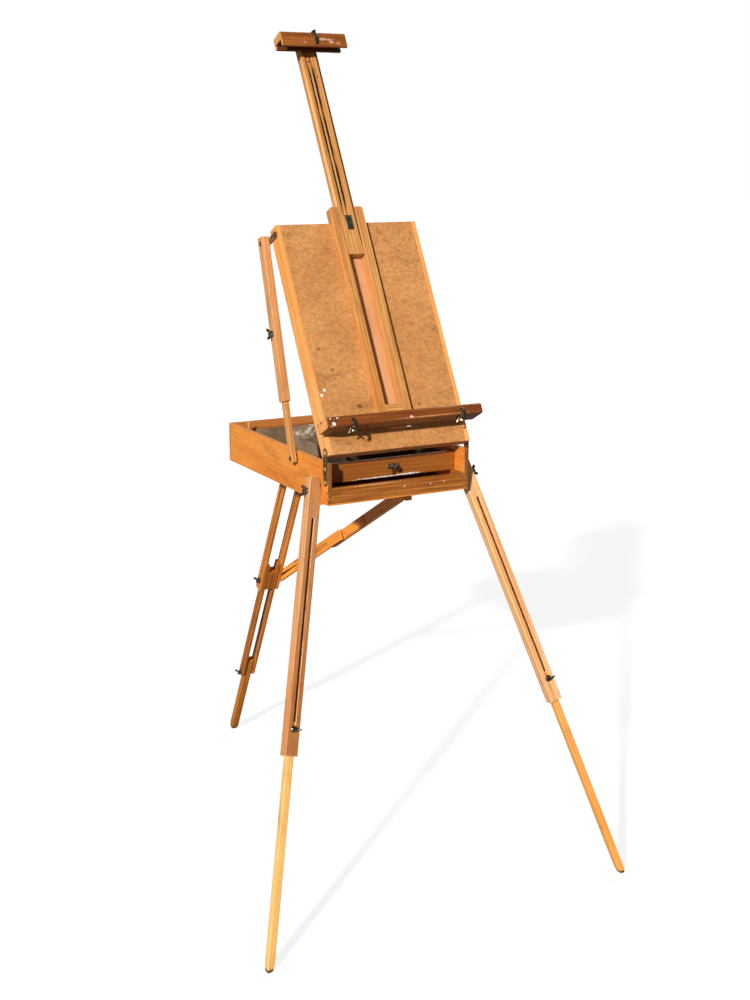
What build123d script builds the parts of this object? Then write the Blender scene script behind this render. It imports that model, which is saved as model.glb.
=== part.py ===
from build123d import *
from math import atan2, cos, degrees, hypot, radians, sin, tan
import os

os.makedirs("parts", exist_ok=True)

# A sketch-box easel standing open on three legs.
# +X is to the painter's right, +Y runs away from the painter, and +Z is up from the ground.
# The origin is on the ground in the middle of the footprint.

# Fits
slide_fit = 0.3        # gap on each side of a wooden slider
pin_fit = 0.05         # radial gap round a pivot pin
face_gap = 0.3         # gap between two flat faces that move past each other
pin_radius = 3.0
bolt_hole = pin_radius + pin_fit

# Box
box_width = 370.0
box_length = 560.0
box_height = 97.5
box_underside = 936.5
footprint_middle = 368.5   # from the box front back to the middle of the footprint
board = 10.0
bottom_ply = 4.0
front_rail_height = 35.5
front_rail_thickness = 11.0
finger = 6.0

box_front = -footprint_middle
box_back_face = box_front + box_length
box_floor = box_underside + bottom_ply
box_top = box_underside + box_height
half_box = box_width / 2
half_inside = half_box - board

# Drawer
drawer_setback = 44.0
drawer_height = 45.0
drawer_front_thickness = 10.0
drawer_side_thickness = 7.0
drawer_floor_thickness = 3.0
drawer_rear_gap = 4.0
drawer_side_gap = 2.0
drawer_rise = 1.0          # drawer bottom above the front rail
runner_gap = 0.5
zinc = 1.0
zinc_height = 34.0
runner_width = 9.0
runner_thickness = 6.0
lath_width = 5.0
lath_height = 9.0
lath_notch = 16.0
lath_notch_place = 208.0

# Lid
lid_lean = 28.5
lid_depth = 37.0
lid_panel_thickness = 4.0
lid_pivot_up = 10.5
lid_pivot_setback = 14.0
lid_corner_radius = 10.0
lid_side_gap = 0.3
lid_closed_gap = 0.3
lid_finger = 5.0
hinge_place = 11.0
plate_thickness = 1.5
plate_width = 20.0
plate_rise = 53.5          # centre of the plate's round lower end above the box underside
plate_low_end = box_underside + plate_rise
rivet_rises = (52.5, 83.5)
rivet_heights = [box_underside + rise for rise in rivet_rises]
rivet_radius = 2.5
rivet_head = 0.6
rivet_lip = 1.5
rivet_washer_lip = 1.0
pin_lip = 2.5

# Canvas carrier on the lid
rail_width = 21.5
channel_width = 44.0
rail_proud = 13.0
channel_floor_depth = 10.0
channel_board_thickness = 5.0
rail_groove = 3.5
rail_low_end = 82.0
rail_top_rise = 36.0
rail_corner_radius = 6.0
carrier_drop = 33.0

# Canvas tray and the top clamp
tray_length = 401.0
tray_middle = -3.0         # the tray sits a little to the left
tray_height = 24.0
tray_reach = 51.0
tray_up = 46.0
tray_block_height = 56.0
clamp_length = 172.0
clamp_reach = 41.5
clamp_head = 18.5
clamp_lip_height = 37.0
clamp_lip = 6.0
clamp_strip_height = 10.5
clamp_strip = 7.0
clamp_tongue = 16.0
tray_hook_spread = 141.0
hook_rod = 2.0

# Mast
mast_low_end = 475.0
mast_top = 1024.0
clamp_rise = 8.0            # top of the clamp above the top of the mast
mast_front = 12.5
mast_groove = 18.0
mast_groove_middle = -6.0
mast_groove_depth = 2.5
mast_slot = 4.0
mast_slot_depth = 9.0
mast_rib = 5.4
mast_rib_middle = -3.5
mast_slot_stop = 26.0      # wood left above the slots
mast_groove_low = 575.0
spring_plate_length = 37.0
spring_plate_width = 16.0
spring_plate_thickness = 1.2

# Brace on the left side
brace_foot_place = 159.0
brace_foot_drop = 16.0
brace_foot_height = box_top - brace_foot_drop
brace_head_place = 302.0
brace_head_rise = 468.0
brace_head_height = box_top + brace_head_rise
sleeve_gap = 2.8
sleeve_depth = 26.0
sleeve_width = 17.7
sleeve_above = 15.0
sleeve_below = 372.0
brace_bar_depth = 16.0
brace_bar_width = 11.5
brace_bar_length = 345.0
brace_bar_below = 10.0
brace_bar_radius = 2.0
brace_nut_place = 293.0
brace_slot_start = 165.0
brace_slot_end = 324.0

# Front legs
leg_splay = 15.56
leg_rake = 17.57
leg_width = 31.0
leg_depth = 26.0
leg_bevel = 1.5
hip_rise = 26.5
hip_height = box_underside + hip_rise
hip_place = 39.0
leg_above_hip = 33.0
leg_upper_length = 590.0
leg_bar_width = 16.5
leg_bar_depth = 16.8
leg_bar_overlap = 75.0
leg_bar_top = leg_upper_length - leg_bar_overlap
leg_slot_width = 6.6
leg_slot_top = 60.0
leg_nut_rise = 26.0        # clamp screw above the lower end of the outer section
leg_nut_drop = leg_upper_length - leg_above_hip - leg_nut_rise
leg_bore_top = 34.0
leg_side_clearance = 0.4
leg_top_clearance = 2.9
wedge_length = 40.0

# Rear leg
rear_hinge_setback = 15.0
rear_hinge_place = box_length - rear_hinge_setback
rear_hinge_drop = 17.5
rear_hinge_height = box_underside - rear_hinge_drop
rear_foot_place = 1014.0
rear_rail_thickness = 8.0
rear_rail_depth = 27.0
rear_gap = 42.0
rear_rail_length = 451.0
elbow_drop = 417.0
middle_width = 39.0
middle_rail_thickness = 7.0
middle_depth = 25.0
middle_top = 359.0
middle_block_top = 385.0
middle_block_end = 448.0
ankle_drop = 783.0
middle_round = 12.5
rear_foot_width = 20.0
rear_foot_depth = 18.0
rear_foot_top = 735.0

# Folding strut on the right of the rear leg
strut_anchor_place = 76.5
strut_depth = 28.0
strut_thickness = 8.0
strut_gap = 0.4
splint_thickness = 4.0
strut_knee = 403.7
strut_overlap = 75.0
splint_length = 125.0
splint_depth = 24.0
strut_washer = 7.0
strut_rivet_head = 1.5

# Carrying handle on the right side
handle_place = 280.0
handle_span = 150.0
handle_rise = 67.5
handle_height = box_underside + handle_rise
handle_strap_width = 20.0
handle_strap_thickness = 4.0
handle_bow = 22.0
handle_plate_thickness = 1.2

# Wing heads
wing_span = 27.0
wing_rise = 13.0
wing_thickness = 3.0
wing_boss_radius = 4.6
wing_boss_length = 8.0
wing_root = 1.5            # wings start this far above the washer
clip_wing_share = 0.6      # size of the clips' wing heads beside the others
washer_radius = 7.5
washer_thickness = 1.2


def back(distance):
    """Depth coordinate of a point that far behind the box front."""
    return box_front + distance


def lid_point(x, up, off):
    """Point on the lid: across, up its slope, and out in front of its panel."""
    lean = radians(lid_lean)
    y = lid_edge_y + up * sin(lean) - off * cos(lean)
    z = lid_edge_z + up * cos(lean) + off * sin(lean)
    return Vector(x, y, z)


def finger_centres(low, high, width):
    """Heights of the tenons of a corner joint between two heights."""
    count = int((high - low) // (2 * width))
    middle = (low + high) / 2
    return [middle + (i - (count - 1) / 2) * 2 * width for i in range(count)]


def bar_plane(x, place, height, run, rise):
    """Plane facing +X, with its own X axis along a bar that runs back and rises."""
    return Plane(origin=(x, back(place), height), x_dir=(0, run, rise), z_dir=(1, 0, 0))


wing_neck = 5.0
wing_curl = 2.0


def wing_screw(seat, shank, shank_radius=pin_radius, share=1.0):
    """Wing screw whose washer sits on the seat plane, with its shank behind it."""
    flank = Plane(origin=seat.origin, x_dir=seat.x_dir, z_dir=seat.y_dir)
    with BuildPart() as screw:
        with BuildSketch(seat):
            Circle(share * washer_radius)
        extrude(amount=washer_thickness)
        with BuildSketch(seat):
            Circle(share * wing_boss_radius)
        extrude(amount=washer_thickness + share * wing_boss_length)
        with BuildSketch(flank):
            with BuildLine():
                low = washer_thickness + wing_root
                tip = washer_thickness + share * wing_rise
                half = share * wing_span / 2
                neck = low + share * wing_neck
                curl = share * wing_curl
                Polyline((-curl, -low), (curl, -low), (half - curl, -neck), (half, -tip + curl),
                         (half - 1.5 * curl, -tip), (half - 3.5 * curl, -tip + curl / 2),
                         (1.5 * curl, -neck), (-1.5 * curl, -neck),
                         (3.5 * curl - half, -tip + curl / 2), (1.5 * curl - half, -tip),
                         (-half, -tip + curl), (curl - half, -neck), (-curl, -low))
            make_face()
        extrude(amount=wing_thickness / 2, both=True)
        with BuildSketch(seat):
            Circle(shank_radius)
        extrude(amount=-shank)
    return screw.part


# The lid's lower front edge follows from its pivot above the box.
lid_pivot_y = back(hinge_place)
lid_pivot_z = box_top + lid_closed_gap + lid_depth - lid_pivot_setback
lean = radians(lid_lean)
lid_edge_y = lid_pivot_y - lid_pivot_up * sin(lean) - lid_pivot_setback * cos(lean)
lid_edge_z = lid_pivot_z - lid_pivot_up * cos(lean) + lid_pivot_setback * sin(lean)
lid_length = box_length
lid_half = half_box - lid_side_gap
lid_normal = Vector(0, -cos(lean), sin(lean))
lid_face = Plane(origin=(0, lid_edge_y, lid_edge_z), x_dir=(1, 0, 0), z_dir=lid_normal)


# Box bottom: thin ply under all four walls
with BuildPart() as box_bottom:
    with BuildSketch(Plane.XY.offset(box_underside)):
        with Locations((0, back(box_length / 2))):
            Rectangle(box_width, box_length)
    extrude(amount=bottom_ply)
box_bottom.part.label = "box_bottom"
export_step(box_bottom.part, "parts/box_bottom.step")

# Box walls, joined by fingers at the corners
rear_fingers = finger_centres(box_floor, box_top, finger)
rail_top = box_floor + front_rail_height
front_fingers = finger_centres(box_floor, rail_top, finger)

# The leg bolts run into the side boards at the splay of the legs.
splay = radians(leg_splay)
rake = radians(leg_rake)
hip_x = half_box + leg_side_clearance + leg_width / 2 * cos(splay) + leg_depth / 2 * sin(splay)


def hip_plane(side):
    """Plane at a hip, with X outward along the bolt and Z up along the leg."""
    outward = Vector(side * cos(splay), 0, sin(splay))
    upward = Vector(-side * sin(splay) * cos(rake), sin(rake), cos(splay) * cos(rake))
    return Plane(origin=(side * hip_x, back(hip_place), hip_height), x_dir=outward, z_dir=upward)


def bolt_plane(side):
    """Plane at a hip, with Z outward along the bolt."""
    hip = hip_plane(side)
    return Plane(origin=hip.origin, x_dir=hip.z_dir, z_dir=hip.x_dir)


hip_bolt_length = (hip_x - half_inside - board / 2) / cos(splay)

for side, side_name in ((-1, "left"), (1, "right")):
    inner_face = Plane(origin=(side * half_inside, 0, 0), x_dir=(0, 1, 0), z_dir=(1, 0, 0))
    outer_face = Plane(origin=(side * half_box, 0, 0), x_dir=(0, 1, 0), z_dir=(1, 0, 0))
    with BuildPart() as box_side:
        with BuildSketch(inner_face):
            with Locations((back(box_length / 2), (box_floor + box_top) / 2)):
                Rectangle(box_length, box_top - box_floor)
            with Locations([(back(box_length - board / 2), z) for z in rear_fingers]):
                Rectangle(board, finger, mode=Mode.SUBTRACT)
            with Locations([(back(front_rail_thickness / 2), z) for z in front_fingers]):
                Rectangle(front_rail_thickness, finger, mode=Mode.SUBTRACT)
        extrude(amount=side * board)
        with BuildSketch(inner_face):
            with Locations([(back(hinge_place), z) for z in rivet_heights]):
                Circle(rivet_radius)
        extrude(amount=side * board, mode=Mode.SUBTRACT)
        with BuildSketch(bolt_plane(side)):
            Circle(bolt_hole)
        extrude(amount=-hip_bolt_length - face_gap, mode=Mode.SUBTRACT)
        if side < 0:
            with BuildSketch(outer_face):
                with Locations((back(brace_foot_place), brace_foot_height)):
                    Circle(pin_radius)
            extrude(amount=board, mode=Mode.SUBTRACT)
    box_side.part.label = f"box_side_{side_name}"
    export_step(box_side.part, f"parts/box_side_{side_name}.step")

with BuildPart() as box_back:
    with BuildSketch(Plane.XY.offset(box_floor)):
        with Locations((0, back(box_length - board / 2))):
            Rectangle(2 * half_inside, board)
    extrude(amount=box_top - box_floor)
    for z in rear_fingers:
        with BuildSketch(Plane.XY.offset(z - finger / 2)):
            with Locations((0, back(box_length - board / 2))):
                Rectangle(box_width, board)
        extrude(amount=finger)
box_back.part.label = "box_back"
export_step(box_back.part, "parts/box_back.step")

with BuildPart() as box_front_rail:
    with BuildSketch(Plane.XY.offset(box_floor)):
        with Locations((0, back(front_rail_thickness / 2))):
            Rectangle(2 * half_inside, front_rail_thickness)
    extrude(amount=front_rail_height)
    for z in front_fingers:
        with BuildSketch(Plane.XY.offset(z - finger / 2)):
            with Locations((0, back(front_rail_thickness / 2))):
                Rectangle(box_width, front_rail_thickness)
        extrude(amount=finger)
box_front_rail.part.label = "box_front_rail"
export_step(box_front_rail.part, "parts/box_front_rail.step")

# Laths along the top inside of the side boards, each with a finger notch, hold the drawer down.
drawer_bottom_height = rail_top + drawer_rise
drawer_top = drawer_bottom_height + drawer_height
lath_start = drawer_setback
lath_length = box_length - board - lath_start

lath_sunk = 1.0      # the laths lie just below the rim

with BuildPart() as side_laths:
    for side in (-1, 1):
        wall = Plane(origin=(side * half_inside, 0, 0), x_dir=(0, 1, 0), z_dir=(1, 0, 0))
        with BuildSketch(wall):
            with Locations((back(lath_start + lath_length / 2), box_top - lath_sunk - lath_height / 2)):
                Rectangle(lath_length, lath_height)
            with Locations((back(lath_notch_place), box_top - lath_sunk)):
                Rectangle(lath_notch, lath_height, mode=Mode.SUBTRACT)
        extrude(amount=-side * lath_width)
side_laths.part.label = "side_laths"
export_step(side_laths.part, "parts/side_laths.step")

# Runners under the drawer
runner_start = front_rail_thickness
runner_length = box_length - board - runner_start

with BuildPart() as drawer_runners:
    with BuildSketch(Plane.XY.offset(drawer_bottom_height - runner_gap)):
        for side in (-1, 1):
            runner_x = side * (half_inside - runner_width / 2)
            with Locations((runner_x, back(runner_start + runner_length / 2))):
                Rectangle(runner_width, runner_length)
    extrude(amount=-runner_thickness)
drawer_runners.part.label = "drawer_runners"
export_step(drawer_runners.part, "parts/drawer_runners.step")

# Wedges that give the front legs their splay
hip_face_x = hip_x - leg_width / 2 / cos(splay) - face_gap
wedge_top = hip_height + (hip_face_x - half_box) / tan(splay)
wedge_foot_x = hip_face_x + (hip_height - box_underside) * tan(splay)

with BuildPart() as leg_wedges:
    for side in (-1, 1):
        slab = Plane(origin=(0, back(hip_place), 0), x_dir=(1, 0, 0), z_dir=(0, -1, 0))
        with BuildSketch(slab):
            with BuildLine():
                Polyline((side * half_box, wedge_top), (side * half_box, box_underside),
                         (side * wedge_foot_x, box_underside), close=True)
            make_face()
        extrude(amount=wedge_length / 2, both=True)
    for side in (-1, 1):
        with BuildSketch(bolt_plane(side)):
            Circle(bolt_hole)
        extrude(amount=-hip_bolt_length, mode=Mode.SUBTRACT)
leg_wedges.part.label = "leg_wedges"
export_step(leg_wedges.part, "parts/leg_wedges.step")

# Metal link plates that carry the lid, with their rivets and pivot pins
with BuildPart() as link_plates:
    for side in (-1, 1):
        wall = Plane(origin=(side * half_box, 0, 0), x_dir=(0, 1, 0), z_dir=(1, 0, 0))
        with BuildSketch(wall):
            with Locations((back(hinge_place), (plate_low_end + lid_pivot_z) / 2)):
                SlotCenterToCenter(lid_pivot_z - plate_low_end, plate_width, rotation=90)
            with Locations([(back(hinge_place), z) for z in rivet_heights]):
                Circle(rivet_radius, mode=Mode.SUBTRACT)
            with Locations((back(hinge_place), lid_pivot_z)):
                Circle(pin_radius, mode=Mode.SUBTRACT)
        extrude(amount=side * plate_thickness)
link_plates.part.label = "link_plates"
export_step(link_plates.part, "parts/link_plates.step")

plate_face = half_box + plate_thickness
pin_depth = 9.0

with BuildPart() as link_rivets:
    for side in (-1, 1):
        outside = Plane(origin=(side * plate_face, 0, 0), x_dir=(0, 1, 0), z_dir=(1, 0, 0))
        inside = Plane(origin=(side * half_inside, 0, 0), x_dir=(0, 1, 0), z_dir=(1, 0, 0))
        spots = [(back(hinge_place), z) for z in rivet_heights]
        with BuildSketch(outside):
            with Locations(spots):
                Circle(rivet_radius)
        extrude(amount=-side * (plate_thickness + board))
        with BuildSketch(outside):
            with Locations(spots):
                Circle(rivet_radius + rivet_lip)
        extrude(amount=side * rivet_head)
        with BuildSketch(inside):
            with Locations(spots):
                Circle(rivet_radius + rivet_washer_lip)
        extrude(amount=-side * rivet_head)
        with BuildSketch(outside):
            with Locations((back(hinge_place), lid_pivot_z)):
                Circle(pin_radius)
        extrude(amount=-side * (plate_thickness + pin_depth))
        with BuildSketch(outside):
            with Locations((back(hinge_place), lid_pivot_z)):
                Circle(pin_radius + pin_lip)
        extrude(amount=side * 2 * rivet_head)
link_rivets.part.label = "link_rivets"
export_step(link_rivets.part, "parts/link_rivets.step")

# Block under the box between the tops of the rear leg's rails
hinge_block_depth = 30.0
hinge_block_clear = 0.4
block_half = rear_gap / 2 - hinge_block_clear

with BuildPart() as rear_hinge_block:
    block_side = Plane(origin=(-block_half, 0, 0), x_dir=(0, 1, 0), z_dir=(1, 0, 0))
    with BuildSketch(block_side):
        with Locations((back(rear_hinge_place), rear_hinge_height)):
            Circle(rear_rail_depth / 2)
        with Locations((back(rear_hinge_place), (rear_hinge_height + box_underside) / 2)):
            Rectangle(hinge_block_depth, box_underside - rear_hinge_height)
        with Locations((back(rear_hinge_place), rear_hinge_height)):
            Circle(pin_radius, mode=Mode.SUBTRACT)
    extrude(amount=2 * block_half)
rear_hinge_block.part.label = "rear_hinge_block"
export_step(rear_hinge_block.part, "parts/rear_hinge_block.step")

# Block under the box that holds the upper end of the strut
strut_start = rear_gap / 2 + rear_rail_thickness + strut_gap
strut_upper_start = strut_start + strut_thickness + strut_gap + splint_thickness
anchor_start = strut_upper_start + strut_thickness + strut_gap
anchor_width = 16.0
anchor_length = 38.0
anchor_cover = 9.0         # wood left below the strut pin

with BuildPart() as strut_anchor:
    anchor_side = Plane(origin=(anchor_start, 0, 0), x_dir=(0, 1, 0), z_dir=(1, 0, 0))
    anchor_foot = rear_hinge_height - anchor_cover
    with BuildSketch(anchor_side):
        with Locations((back(strut_anchor_place), (anchor_foot + box_underside) / 2)):
            Rectangle(anchor_length, box_underside - anchor_foot)
        with Locations((back(strut_anchor_place), rear_hinge_height)):
            Circle(pin_radius, mode=Mode.SUBTRACT)
    extrude(amount=anchor_width)
strut_anchor.part.label = "strut_anchor"
export_step(strut_anchor.part, "parts/strut_anchor.step")

# Pins fixed to the box: rear leg, strut and brace
brace_stand = 5.4
brace_face = half_box + brace_stand
brace_head_radius = 5.5
brace_head_thickness = 2.0

pin_sunk = 0.5           # the ends of the wooden joints' pins lie below the wood
brace_foot_washer = 1.0
brace_foot_clearance = 0.2
brace_pin_reach = 1.5    # how far the brace's pin stands out beyond its bar

with BuildPart() as hinge_pins:
    rear_pin_half = rear_gap / 2 + rear_rail_thickness - pin_sunk
    left_side = Plane(origin=(0, 0, 0), x_dir=(0, 1, 0), z_dir=(1, 0, 0))
    with BuildSketch(left_side):
        with Locations((back(rear_hinge_place), rear_hinge_height)):
            Circle(pin_radius)
    extrude(amount=rear_pin_half, both=True)
    with BuildSketch(left_side.offset(strut_upper_start + pin_sunk)):
        with Locations((back(strut_anchor_place), rear_hinge_height)):
            Circle(pin_radius)
    extrude(amount=anchor_start + anchor_width - strut_upper_start - 2 * pin_sunk)
    spot = (back(brace_foot_place), brace_foot_height)
    with BuildSketch(left_side.offset(-half_inside)):
        with Locations(spot):
            Circle(pin_radius)
    extrude(amount=half_inside - brace_face - brace_bar_width - brace_pin_reach)
    with BuildSketch(left_side.offset(-half_box)):
        with Locations(spot):
            Circle(brace_head_radius + brace_foot_washer)
    extrude(amount=half_box - brace_face + brace_foot_clearance)
    with BuildSketch(left_side.offset(-brace_face - brace_bar_width - face_gap)):
        with Locations(spot):
            Circle(brace_head_radius)
    extrude(amount=-brace_head_thickness)
hinge_pins.part.label = "hinge_pins"
export_step(hinge_pins.part, "parts/hinge_pins.step")

# Leather carrying handle and its end plates, on the right side
handle_end = 26.0
handle_slope = 24.0      # how far the strap runs while it rises from the box
handle_fold = 3.0
handle_corner = 10.0
handle_plane = Plane.XY.offset(handle_height - handle_strap_width / 2)
handle_low = back(handle_place - handle_span / 2)
handle_high = back(handle_place + handle_span / 2)

outer_bow = half_box + handle_bow + handle_strap_thickness

with BuildPart() as handle_strap:
    with BuildSketch(handle_plane):
        with BuildLine():
            Polyline((half_box, handle_low - handle_end), (half_box, handle_low),
                     (half_box + handle_bow, handle_low + handle_slope),
                     (half_box + handle_bow, handle_high - handle_slope),
                     (half_box, handle_high), (half_box, handle_high + handle_end),
                     (half_box + handle_strap_thickness, handle_high + handle_end),
                     (half_box + handle_strap_thickness, handle_high + handle_fold),
                     (outer_bow, handle_high - handle_slope + handle_fold),
                     (outer_bow, handle_low + handle_slope - handle_fold),
                     (half_box + handle_strap_thickness, handle_low - handle_fold),
                     (half_box + handle_strap_thickness, handle_low - handle_end), close=True)
        make_face()
    extrude(amount=handle_strap_width)
    fillet(handle_strap.edges().filter_by(Axis.Z).group_by(Axis.X)[-1], handle_corner)
handle_strap.part.label = "handle_strap"
export_step(handle_strap.part, "parts/handle_strap.step")

handle_plate_shift = 2.0
handle_plate_length = handle_end - 6.0
handle_plate_width = handle_strap_width + 4.0
handle_plate_corner = 3.0
handle_rivet_radius = 3.0

with BuildPart() as handle_plates:
    plate_x = half_box + handle_strap_thickness
    plate_away = handle_end / 2 + handle_plate_shift
    for y in (handle_low - plate_away, handle_high + plate_away):
        with BuildSketch(Plane(origin=(plate_x, y, handle_height), x_dir=(0, 1, 0), z_dir=(1, 0, 0))):
            RectangleRounded(handle_plate_length, handle_plate_width, handle_plate_corner)
        extrude(amount=handle_plate_thickness)
        with BuildSketch(Plane(origin=(plate_x + handle_plate_thickness, y, handle_height),
                               x_dir=(0, 1, 0), z_dir=(1, 0, 0))):
            Circle(handle_rivet_radius)
        extrude(amount=handle_plate_thickness)
handle_plates.part.label = "handle_plates"
export_step(handle_plates.part, "parts/handle_plates.step")

# Drawer: a shallow wooden tray that slides out over the front rail
drawer_front_y = back(drawer_setback)
drawer_half = half_inside - drawer_side_gap
drawer_rear_y = back(box_length - board - drawer_rear_gap)
drawer_walls_start = drawer_front_y + drawer_front_thickness
drawer_walls_length = drawer_rear_y - drawer_walls_start
drawer_wall_height = drawer_height - 4
drawer_inside = drawer_half - drawer_side_thickness

with BuildPart() as drawer_front:
    with BuildSketch(Plane.XY.offset(drawer_bottom_height)):
        with Locations((0, drawer_front_y + drawer_front_thickness / 2)):
            Rectangle(2 * drawer_half, drawer_front_thickness)
    extrude(amount=drawer_height)
    chamfer(drawer_front.edges().filter_by(Axis.X).group_by(Axis.Z)[-1], 1)
drawer_front.part.label = "drawer_front"
export_step(drawer_front.part, "parts/drawer_front.step")

with BuildPart() as drawer_sides:
    with BuildSketch(Plane.XY.offset(drawer_bottom_height)):
        for side in (-1, 1):
            wall_x = side * (drawer_half - drawer_side_thickness / 2)
            with Locations((wall_x, drawer_walls_start + drawer_walls_length / 2)):
                Rectangle(drawer_side_thickness, drawer_walls_length)
    extrude(amount=drawer_wall_height)
drawer_sides.part.label = "drawer_sides"
export_step(drawer_sides.part, "parts/drawer_sides.step")

with BuildPart() as drawer_back:
    with BuildSketch(Plane.XY.offset(drawer_bottom_height)):
        with Locations((0, drawer_rear_y - drawer_side_thickness / 2)):
            Rectangle(2 * drawer_inside, drawer_side_thickness)
    extrude(amount=drawer_wall_height)
drawer_back.part.label = "drawer_back"
export_step(drawer_back.part, "parts/drawer_back.step")

drawer_inside_length = drawer_walls_length - drawer_side_thickness
drawer_centre_y = drawer_walls_start + drawer_inside_length / 2

with BuildPart() as drawer_bottom:
    with BuildSketch(Plane.XY.offset(drawer_bottom_height)):
        with Locations((0, drawer_centre_y)):
            Rectangle(2 * drawer_inside, drawer_inside_length)
    extrude(amount=drawer_floor_thickness)
drawer_bottom.part.label = "drawer_bottom"
export_step(drawer_bottom.part, "parts/drawer_bottom.step")

# Zinc lining folded up round the inside of the drawer, and the zinc dividers that stand in it
zinc_floor = drawer_bottom_height + drawer_floor_thickness
divider_height = zinc_height - 6
long_divider_x = -drawer_inside / 3
cross_divider_places = (0.36, 0.70)

with BuildPart() as zinc_tray:
    with BuildSketch(Plane.XY.offset(zinc_floor)):
        with Locations((0, drawer_centre_y)):
            Rectangle(2 * drawer_inside, drawer_inside_length)
    extrude(amount=zinc_height)
    offset(amount=-zinc, openings=zinc_tray.faces().sort_by(Axis.Z)[-1])
zinc_tray.part.label = "zinc_tray"
export_step(zinc_tray.part, "parts/zinc_tray.step")

with BuildPart() as zinc_dividers:
    with BuildSketch(Plane.XY.offset(zinc_floor + zinc)):
        with Locations((long_divider_x, drawer_centre_y)):
            Rectangle(zinc, drawer_inside_length - 2 * zinc)
        cross_start = long_divider_x + zinc / 2
        cross_width = drawer_inside - zinc - cross_start
        for share in cross_divider_places:
            cross_y = drawer_walls_start + share * drawer_inside_length
            with Locations((cross_start + cross_width / 2, cross_y)):
                Rectangle(cross_width, zinc)
    extrude(amount=divider_height)
zinc_dividers.part.label = "zinc_dividers"
export_step(zinc_dividers.part, "parts/zinc_dividers.step")

# Turning latch in the middle of the drawer front
latch_x = 6.0
latch_rise = 25.0
latch_plate_length = 34.0
latch_plate_width = 13.0
latch_screw_spread = 13.0
latch_screw_radius = 2.2
latch_height = drawer_bottom_height + latch_rise
latch_plate_thickness = 1.2
latch_screw_head = 0.8
latch_stub = 2.5
latch_stub_length = 5.0
latch_tail = 19.0
latch_knob_radius = 6.8
latch_knob_stand = 12.0
latch_root = 5.0         # half the tongue's width at the hub
latch_tip = 1.5
latch_hub_radius = 6.0
latch_hub = 2.5
latch_stem_radius = 4.2
latch_stem = 9.0

with BuildPart() as latch_plate:
    latch_seat = Plane(origin=(latch_x, drawer_front_y, latch_height), x_dir=(1, 0, 0), z_dir=(0, -1, 0))
    with BuildSketch(latch_seat):
        RectangleRounded(latch_plate_length, latch_plate_width, latch_plate_width / 2 - 0.5)
    extrude(amount=latch_plate_thickness)
    with BuildSketch(latch_seat):
        with Locations((-latch_screw_spread, 0), (latch_screw_spread, 0)):
            Circle(latch_screw_radius)
    extrude(amount=latch_plate_thickness + latch_screw_head)
    with BuildSketch(latch_seat):
        Circle(latch_stub)
    extrude(amount=latch_plate_thickness + latch_stub_length)
latch_plate.part.label = "latch_plate"
export_step(latch_plate.part, "parts/latch_plate.step")

with BuildPart() as latch_knob:
    latch_face = drawer_front_y - latch_plate_thickness - latch_screw_head - face_gap
    knob_plane = Plane(origin=(latch_x, latch_face, latch_height), x_dir=(1, 0, 0), z_dir=(0, -1, 0))
    with BuildSketch(knob_plane):
        with BuildLine():
            Polyline((-latch_root, 0), (-latch_tip, -latch_tail), (latch_tip, -latch_tail),
                     (latch_root, 0), close=True)
        make_face()
        Circle(latch_hub_radius)
    extrude(amount=latch_hub)
    with BuildSketch(knob_plane):
        Circle(latch_stem_radius)
    extrude(amount=latch_stem)
    with Locations((latch_x, latch_face - latch_knob_stand, latch_height)):
        Sphere(latch_knob_radius)
    with BuildSketch(knob_plane):
        Circle(latch_stub + pin_fit)
    extrude(amount=latch_stub_length, mode=Mode.SUBTRACT)
latch_knob.part.label = "latch_knob"
export_step(latch_knob.part, "parts/latch_knob.step")

# Lid: two side boards, two end boards and a ply panel with a slot for the canvas carrier
lid_back = -lid_depth
panel_back = -lid_panel_thickness
panel_inside = lid_half - board
lid_fingers = finger_centres(lid_back, panel_back, lid_finger)
slot_half = channel_width / 2 + rail_width - rail_groove + slide_fit
slot_low = rail_low_end - carrier_drop - slide_fit
notch_half = channel_width / 2 + rail_width + 0.5
notch_depth = channel_floor_depth + channel_board_thickness + 0.5


def lid_section(up):
    """Plane square to the lid's slope at a height up it, with its own Y out of the panel."""
    return Plane(origin=lid_point(0, up, 0), x_dir=(-1, 0, 0), z_dir=lid_face.y_dir)


def lid_flank(x):
    """Plane parallel to the lid's sides, with its own X up the lid and Y out of the panel."""
    return Plane(origin=lid_point(x, 0, 0), x_dir=lid_face.y_dir, z_dir=(1, 0, 0))


bottom_board = lid_corner_radius + 2

for side, side_name in ((-1, "left"), (1, "right")):
    with BuildPart() as lid_side:
        with BuildSketch(lid_flank(side * panel_inside)) as lid_profile:
            with Locations((lid_length / 2, -lid_depth / 2)):
                Rectangle(lid_length, lid_depth)
            low_corner = lid_profile.vertices().group_by(Axis.X)[0].sort_by(Axis.Y)[0]
            fillet(low_corner, lid_corner_radius)
            with Locations([(lid_length - board / 2, off) for off in lid_fingers]):
                Rectangle(board, lid_finger, mode=Mode.SUBTRACT)
            with Locations([(bottom_board / 2, off) for off in lid_fingers[1:]]):
                Rectangle(bottom_board, lid_finger, mode=Mode.SUBTRACT)
        extrude(amount=side * board)
        with BuildSketch(lid_flank(side * lid_half)):
            with Locations((lid_pivot_up, -lid_pivot_setback)):
                Circle(bolt_hole)
        extrude(amount=-side * board, mode=Mode.SUBTRACT)
    lid_side.part.label = f"lid_side_{side_name}"
    export_step(lid_side.part, f"parts/lid_side_{side_name}.step")

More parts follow.
